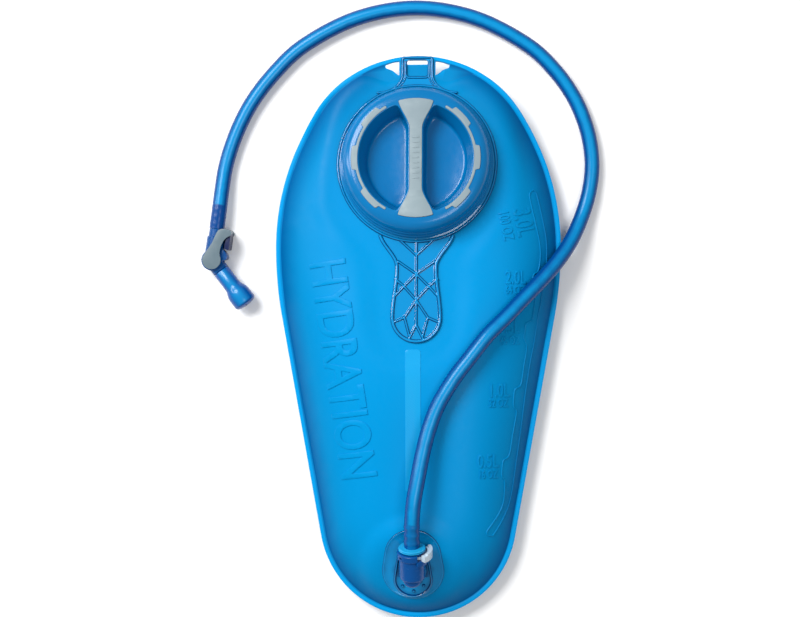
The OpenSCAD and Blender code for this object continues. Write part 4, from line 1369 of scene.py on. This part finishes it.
# %% Plug
FLANGE_AT, FLANGE_BACK, BARB_END = 21.1, 23.4, 41.4
barb = []
for z in (3.5, 9, 14.5):
    barb += [(3.4, FLANGE_BACK + z), (4.1, FLANGE_BACK + z + 0.15), (4.2, FLANGE_BACK + z + 0.4), (3.4, FLANGE_BACK + z + 2.4)]
plug = turn("plug", [(0.05, 5.6), (1.0, 5.6), (1.2, 5.8), (1.2, 9.9), (4.4, 10), (4.9, 10.5), (4.9, 12.6), (3.9, 12.6),
                     (3.9, 14.4), (4.9, 14.4), (4.9, 16.2), (4.6, 16.4), (4.6, 18.9), (4.9, 19.1), (4.9, 21.1),
                     (8.6, 21.1), (9.2, 21.6), (9.2, 21.9), (8.7, 22.25), (9.2, 22.6), (9.2, 22.9), (8.6, 23.4),
                     (5.4, 23.4), (4.4, 23.8), (3.5, 24.8)] + barb
            + [(3.2, BARB_END - 0.2), (3.0, BARB_END), (2.3, BARB_END), (2.3, 12), (0.05, 12)], 72)
for k in range(4):
    port = rod("port", 0.8, 9, 13, 20)
    place(port, Matrix.Rotation(k * math.pi / 2, 4, "Z") @ Matrix.Translation((2.2 * MM, 0, 0)))
    cut(plug, port)
place(plug, SOCKET)
smooth_by_angle(plug, 35)
finish_piece(plug, plug_blue, "hose", "plug", "plug_adapter")


def o_ring(name, radius, thick, z, matrix, body, slot_name, node):
    start_piece()
    bpy.ops.mesh.primitive_torus_add(major_radius=radius * MM, minor_radius=thick * MM, major_segments=64,
                                     minor_segments=16, location=(0, 0, z * MM))
    obj = bpy.context.object
    obj.name = name
    place(obj, matrix)
    only(obj)
    bpy.ops.object.shade_smooth()
    return obj


plug_ring = o_ring("plug_ring", 4.35, 0.68, 13.5, SOCKET, "hose", "dark_seal", "plug_oring")
finish_piece(plug_ring, seal_black, "hose", "dark_seal", "plug_oring")

# %% [markdown]
# ## Shut-off valve
# The housing is a short drum with an inlet barb and an outlet stem at an angle. A keyed spool turns
# in it with a yoke lever: a disc above and below, an arm that swings out in an S, and a pad for
# the thumb. In the row the lever lies along the hose, so the valve is open.

# %% Valve housing
TUBE_GAP = math.hypot(ROUTE[-1].x - VALVE_AT.x, ROUTE[-1].y - VALVE_AT.y) / MM


def along(angle, at=0.0):
    """A frame whose Z runs in this direction across the valve."""
    return Matrix.Rotation(angle, 4, "Z") @ Matrix.Rotation(math.pi / 2, 4, "Y") @ Matrix.Translation((0, 0, at * MM))


housing = turn("housing", [(0.05, -6.4), (6.9, -6.4), (7.4, -5.9), (7.4, 5.9), (6.9, 6.4), (0.05, 6.4)], 96)
barb = []
for s in (3, 8, 13):
    barb += [(3.3, TUBE_GAP + s), (3.8, TUBE_GAP + s + 0.1), (3.9, TUBE_GAP + s + 0.35), (3.3, TUBE_GAP + s + 2)]
inlet = turn("inlet", [(0.05, 2), (6.3, 2), (6.4, 6), (6.4, TUBE_GAP - 6.4), (6.1, TUBE_GAP - 6), (5.6, TUBE_GAP - 5.6),
                       (5.6, TUBE_GAP - 0.6), (5.2, TUBE_GAP - 0.2), (3.4, TUBE_GAP - 0.1)] + barb
             + [(3.1, TUBE_GAP + 16.6), (2.7, TUBE_GAP + 17), (0.05, TUBE_GAP + 17)], 64)
place(inlet, along(INLET_DIR))
outlet = turn("outlet", [(0.05, 2), (5.8, 2), (5.9, 9), (5.5, 9.5), (3.5, 9.6), (3.4, 19), (4.1, 19.1), (4.1, 20.4),
                         (3.4, 21.2), (3.2, 22), (0.05, 22)], 64)
place(outlet, along(MOUTH_DIR))
cut(housing, inlet, "UNION")
cut(housing, outlet, "UNION")
stop = plate("stop", rounded([(0.5, -5.5), (1.6, -9.6), (3.4, -10.4), (6.2, -9.0), (8.2, -7.0), (8.8, -4.5)], 0.8), -5.4, 5.4)
bevel(stop, 0.4, 2, 50)
apply_all(stop)
place(stop, Matrix.Rotation(INLET_DIR, 4, "Z"))
cut(housing, stop, "UNION")
cut(housing, rod("spool_bore", 4.7, -7, 7, 64))
for angle, end in ((INLET_DIR, 50), (MOUTH_DIR, 30)):
    bore = rod("bore", 1.9, 0, end, 40)
    place(bore, along(angle))
    cut(housing, bore)
place(housing, VALVE)
smooth_by_angle(housing, 32)
finish_piece(housing, valve_blue, "hose", "valve", "valve_body")

# %% Spool and its seals
spool = turn("spool", [(0.05, -6.6), (4.3, -6.6), (4.55, -6.3), (4.55, -4.6), (3.8, -4.6), (3.8, -3.4), (4.55, -3.4),
                       (4.55, 3.4), (3.8, 3.4), (3.8, 4.6), (4.55, 4.6), (4.55, 6.3), (4.3, 6.6), (0.05, 6.6)], 64)
for angle in (INLET_DIR, MOUTH_DIR):
    bore = rod("bore", 1.9, 0 if angle == INLET_DIR else 0.3, 10, 40)
    place(bore, along(angle))
    cut(spool, bore)
place(spool, VALVE)
smooth_by_angle(spool, 32)
finish_piece(spool, inner_white, "shutoff", "inner", "valve_spool")
spool_rings = join([o_ring("ring", 4.2, 0.4, z, VALVE, "shutoff", "dark_seal", "spool_seals") for z in (-4, 4)],
                   "spool_rings")
finish_piece(spool_rings, seal_black, "shutoff", "dark_seal", "spool_seals")

# %% [markdown]
# The lever's arms leave the discs as an S and end in a pad on the side away from the mouthpiece.
# Both arms are one outline with soft edges, and the pad joins them round the housing.

# %% Yoke lever
DISC_R, DISC_Z, DISC_T, PAD_SIDE = 6.5, 6.8, 1.8, 7.2


def yoke_outline():
    """Disc and arm. X runs along the inlet. The arm's end hooks over the pad on its right."""
    disc = arc(DISC_R, 62, 300, 30)
    edge = [(4.4, -5.2), (6.6, -4.9), (9.8, -5.1), (13, -5.9), (15.6, -7.2), (17.4, -8.8), (18.4, -10.2),
            (19.3, -10.9), (20.6, -11.1), (21.8, -10.5), (22.6, -9), (22.8, -5.8), (22.2, -3.1), (20.6, -1.4), (17.2, -0.2),
            (12, 1.3), (8, 3.2), (4.6, 5.0)]
    line = smooth_route([Vector((x, y, 0)) for x, y in edge], 4)
    return disc + [(p.x, p.y) for p in line]


arms = []
for low in (DISC_Z, -DISC_Z - DISC_T):
    arm = plate("arm", yoke_outline(), low, low + DISC_T)
    bevel(arm, 0.75, 4, 50)
    apply_all(arm)
    place(arm, Matrix.Rotation(INLET_DIR, 4, "Z"))
    arms.append(arm)
bridge_end = plate("bridge_end", rounded([(19.6, -10.6), (22.0, -10.4), (22.6, -8.6), (20.6, -8.2)], 0.7),
                   -DISC_Z - 0.3, DISC_Z + 0.3)
bevel(bridge_end, 0.3, 2, 50)
apply_all(bridge_end)
place(bridge_end, Matrix.Rotation(INLET_DIR, 4, "Z"))
arms.append(bridge_end)
hubs = [turn("hub", [(0.05, z), (2.5, z), (2.5, z + 0.35), (0.05, z + 0.35)], 32) for z in (6.55, -6.9)]
lever = join([*arms, *hubs], "lever")
place(lever, VALVE)
smooth_by_angle(lever, 40)
finish_piece(lever, lever_grey, "shutoff", "lever", "shutoff_lever")

# %% [markdown]
# The thumb presses a pad between the arms; its dark navy is painted shade for the shadowed hollow inside the lever. Its
# ribs run across the push.

# %% Thumb pad
pad = plate("thumb_pad", rounded([(8.4, -9.8), (8.8, -10.9), (13, -10.9), (20.2, -10.6), (20.4, -7.9), (16, -7.5), (9.2, -7.5)], 0.6),
            -DISC_Z - 0.2, DISC_Z + 0.2)
bevel(pad, 0.3, 2, 50)
apply_all(pad)
for k in range(5):
    groove = rod("groove", 0.35, -5, 5, 16)
    place(groove, Matrix.Translation(Vector((9.4 + 1.9 * k, -11.05, 0)) * MM))
    cut(pad, groove)
place(pad, VALVE @ Matrix.Rotation(INLET_DIR, 4, "Z"))
smooth_by_angle(pad, 40)
finish_piece(pad, pad_navy_painted_shade, "shutoff", "valve")

# %% [markdown]
# ## Mouthpiece
# A soft silicone sleeve over the stem. It widens to a head with a rounded end and a slit that opens
# when it is bitten. Inside it is hollow up to the slit's thin wall.

# %% Mouthpiece
MOUTH_START, MOUTH_L, MOUTH_R, STEM_R = 9.7, 30, 8.1, 5.9
TIP, HEAD = MOUTH_START + MOUTH_L, MOUTH_START + MOUTH_L - 10.3
outside = [(3.5, MOUTH_START), (5.6, MOUTH_START), (STEM_R, MOUTH_START + 0.4), (STEM_R, HEAD - 7)]
outside += [(float(mix(STEM_R, MOUTH_R - 0.15, smooth(k / 8))), mix(HEAD - 7, HEAD, k / 8)) for k in range(1, 9)]
outside += [(MOUTH_R, HEAD + 0.8), (MOUTH_R, TIP - 3), (7.9, TIP - 2.2), (7.3, TIP - 1.4), (6.4, TIP - 0.85),
            (5, TIP - 0.4), (3, TIP - 0.12), (0.05, TIP)]
inside = [(0.05, TIP - 2.2), (2.6, TIP - 2.3), (4.6, TIP - 3.4), (5.2, TIP - 6), (4.6, HEAD), (3.5, HEAD - 5), (4.2, 21.6),
          (4.2, 18.8), (3.5, 18.6)]
mouth = turn("mouth", outside + inside, 72, closed=True)
slit = block("slit", (11, 0.5, 6), (0, 0, TIP - 1))
cut(mouth, slit)
place(mouth, VALVE @ along(MOUTH_DIR))
# The mouthpiece's steep flanks get painted shade from this.
store_steep(mouth)
smooth_by_angle(mouth, 40)
finish_piece(mouth, silicone_blue, "hose", "mouthpiece", "bite_valve")
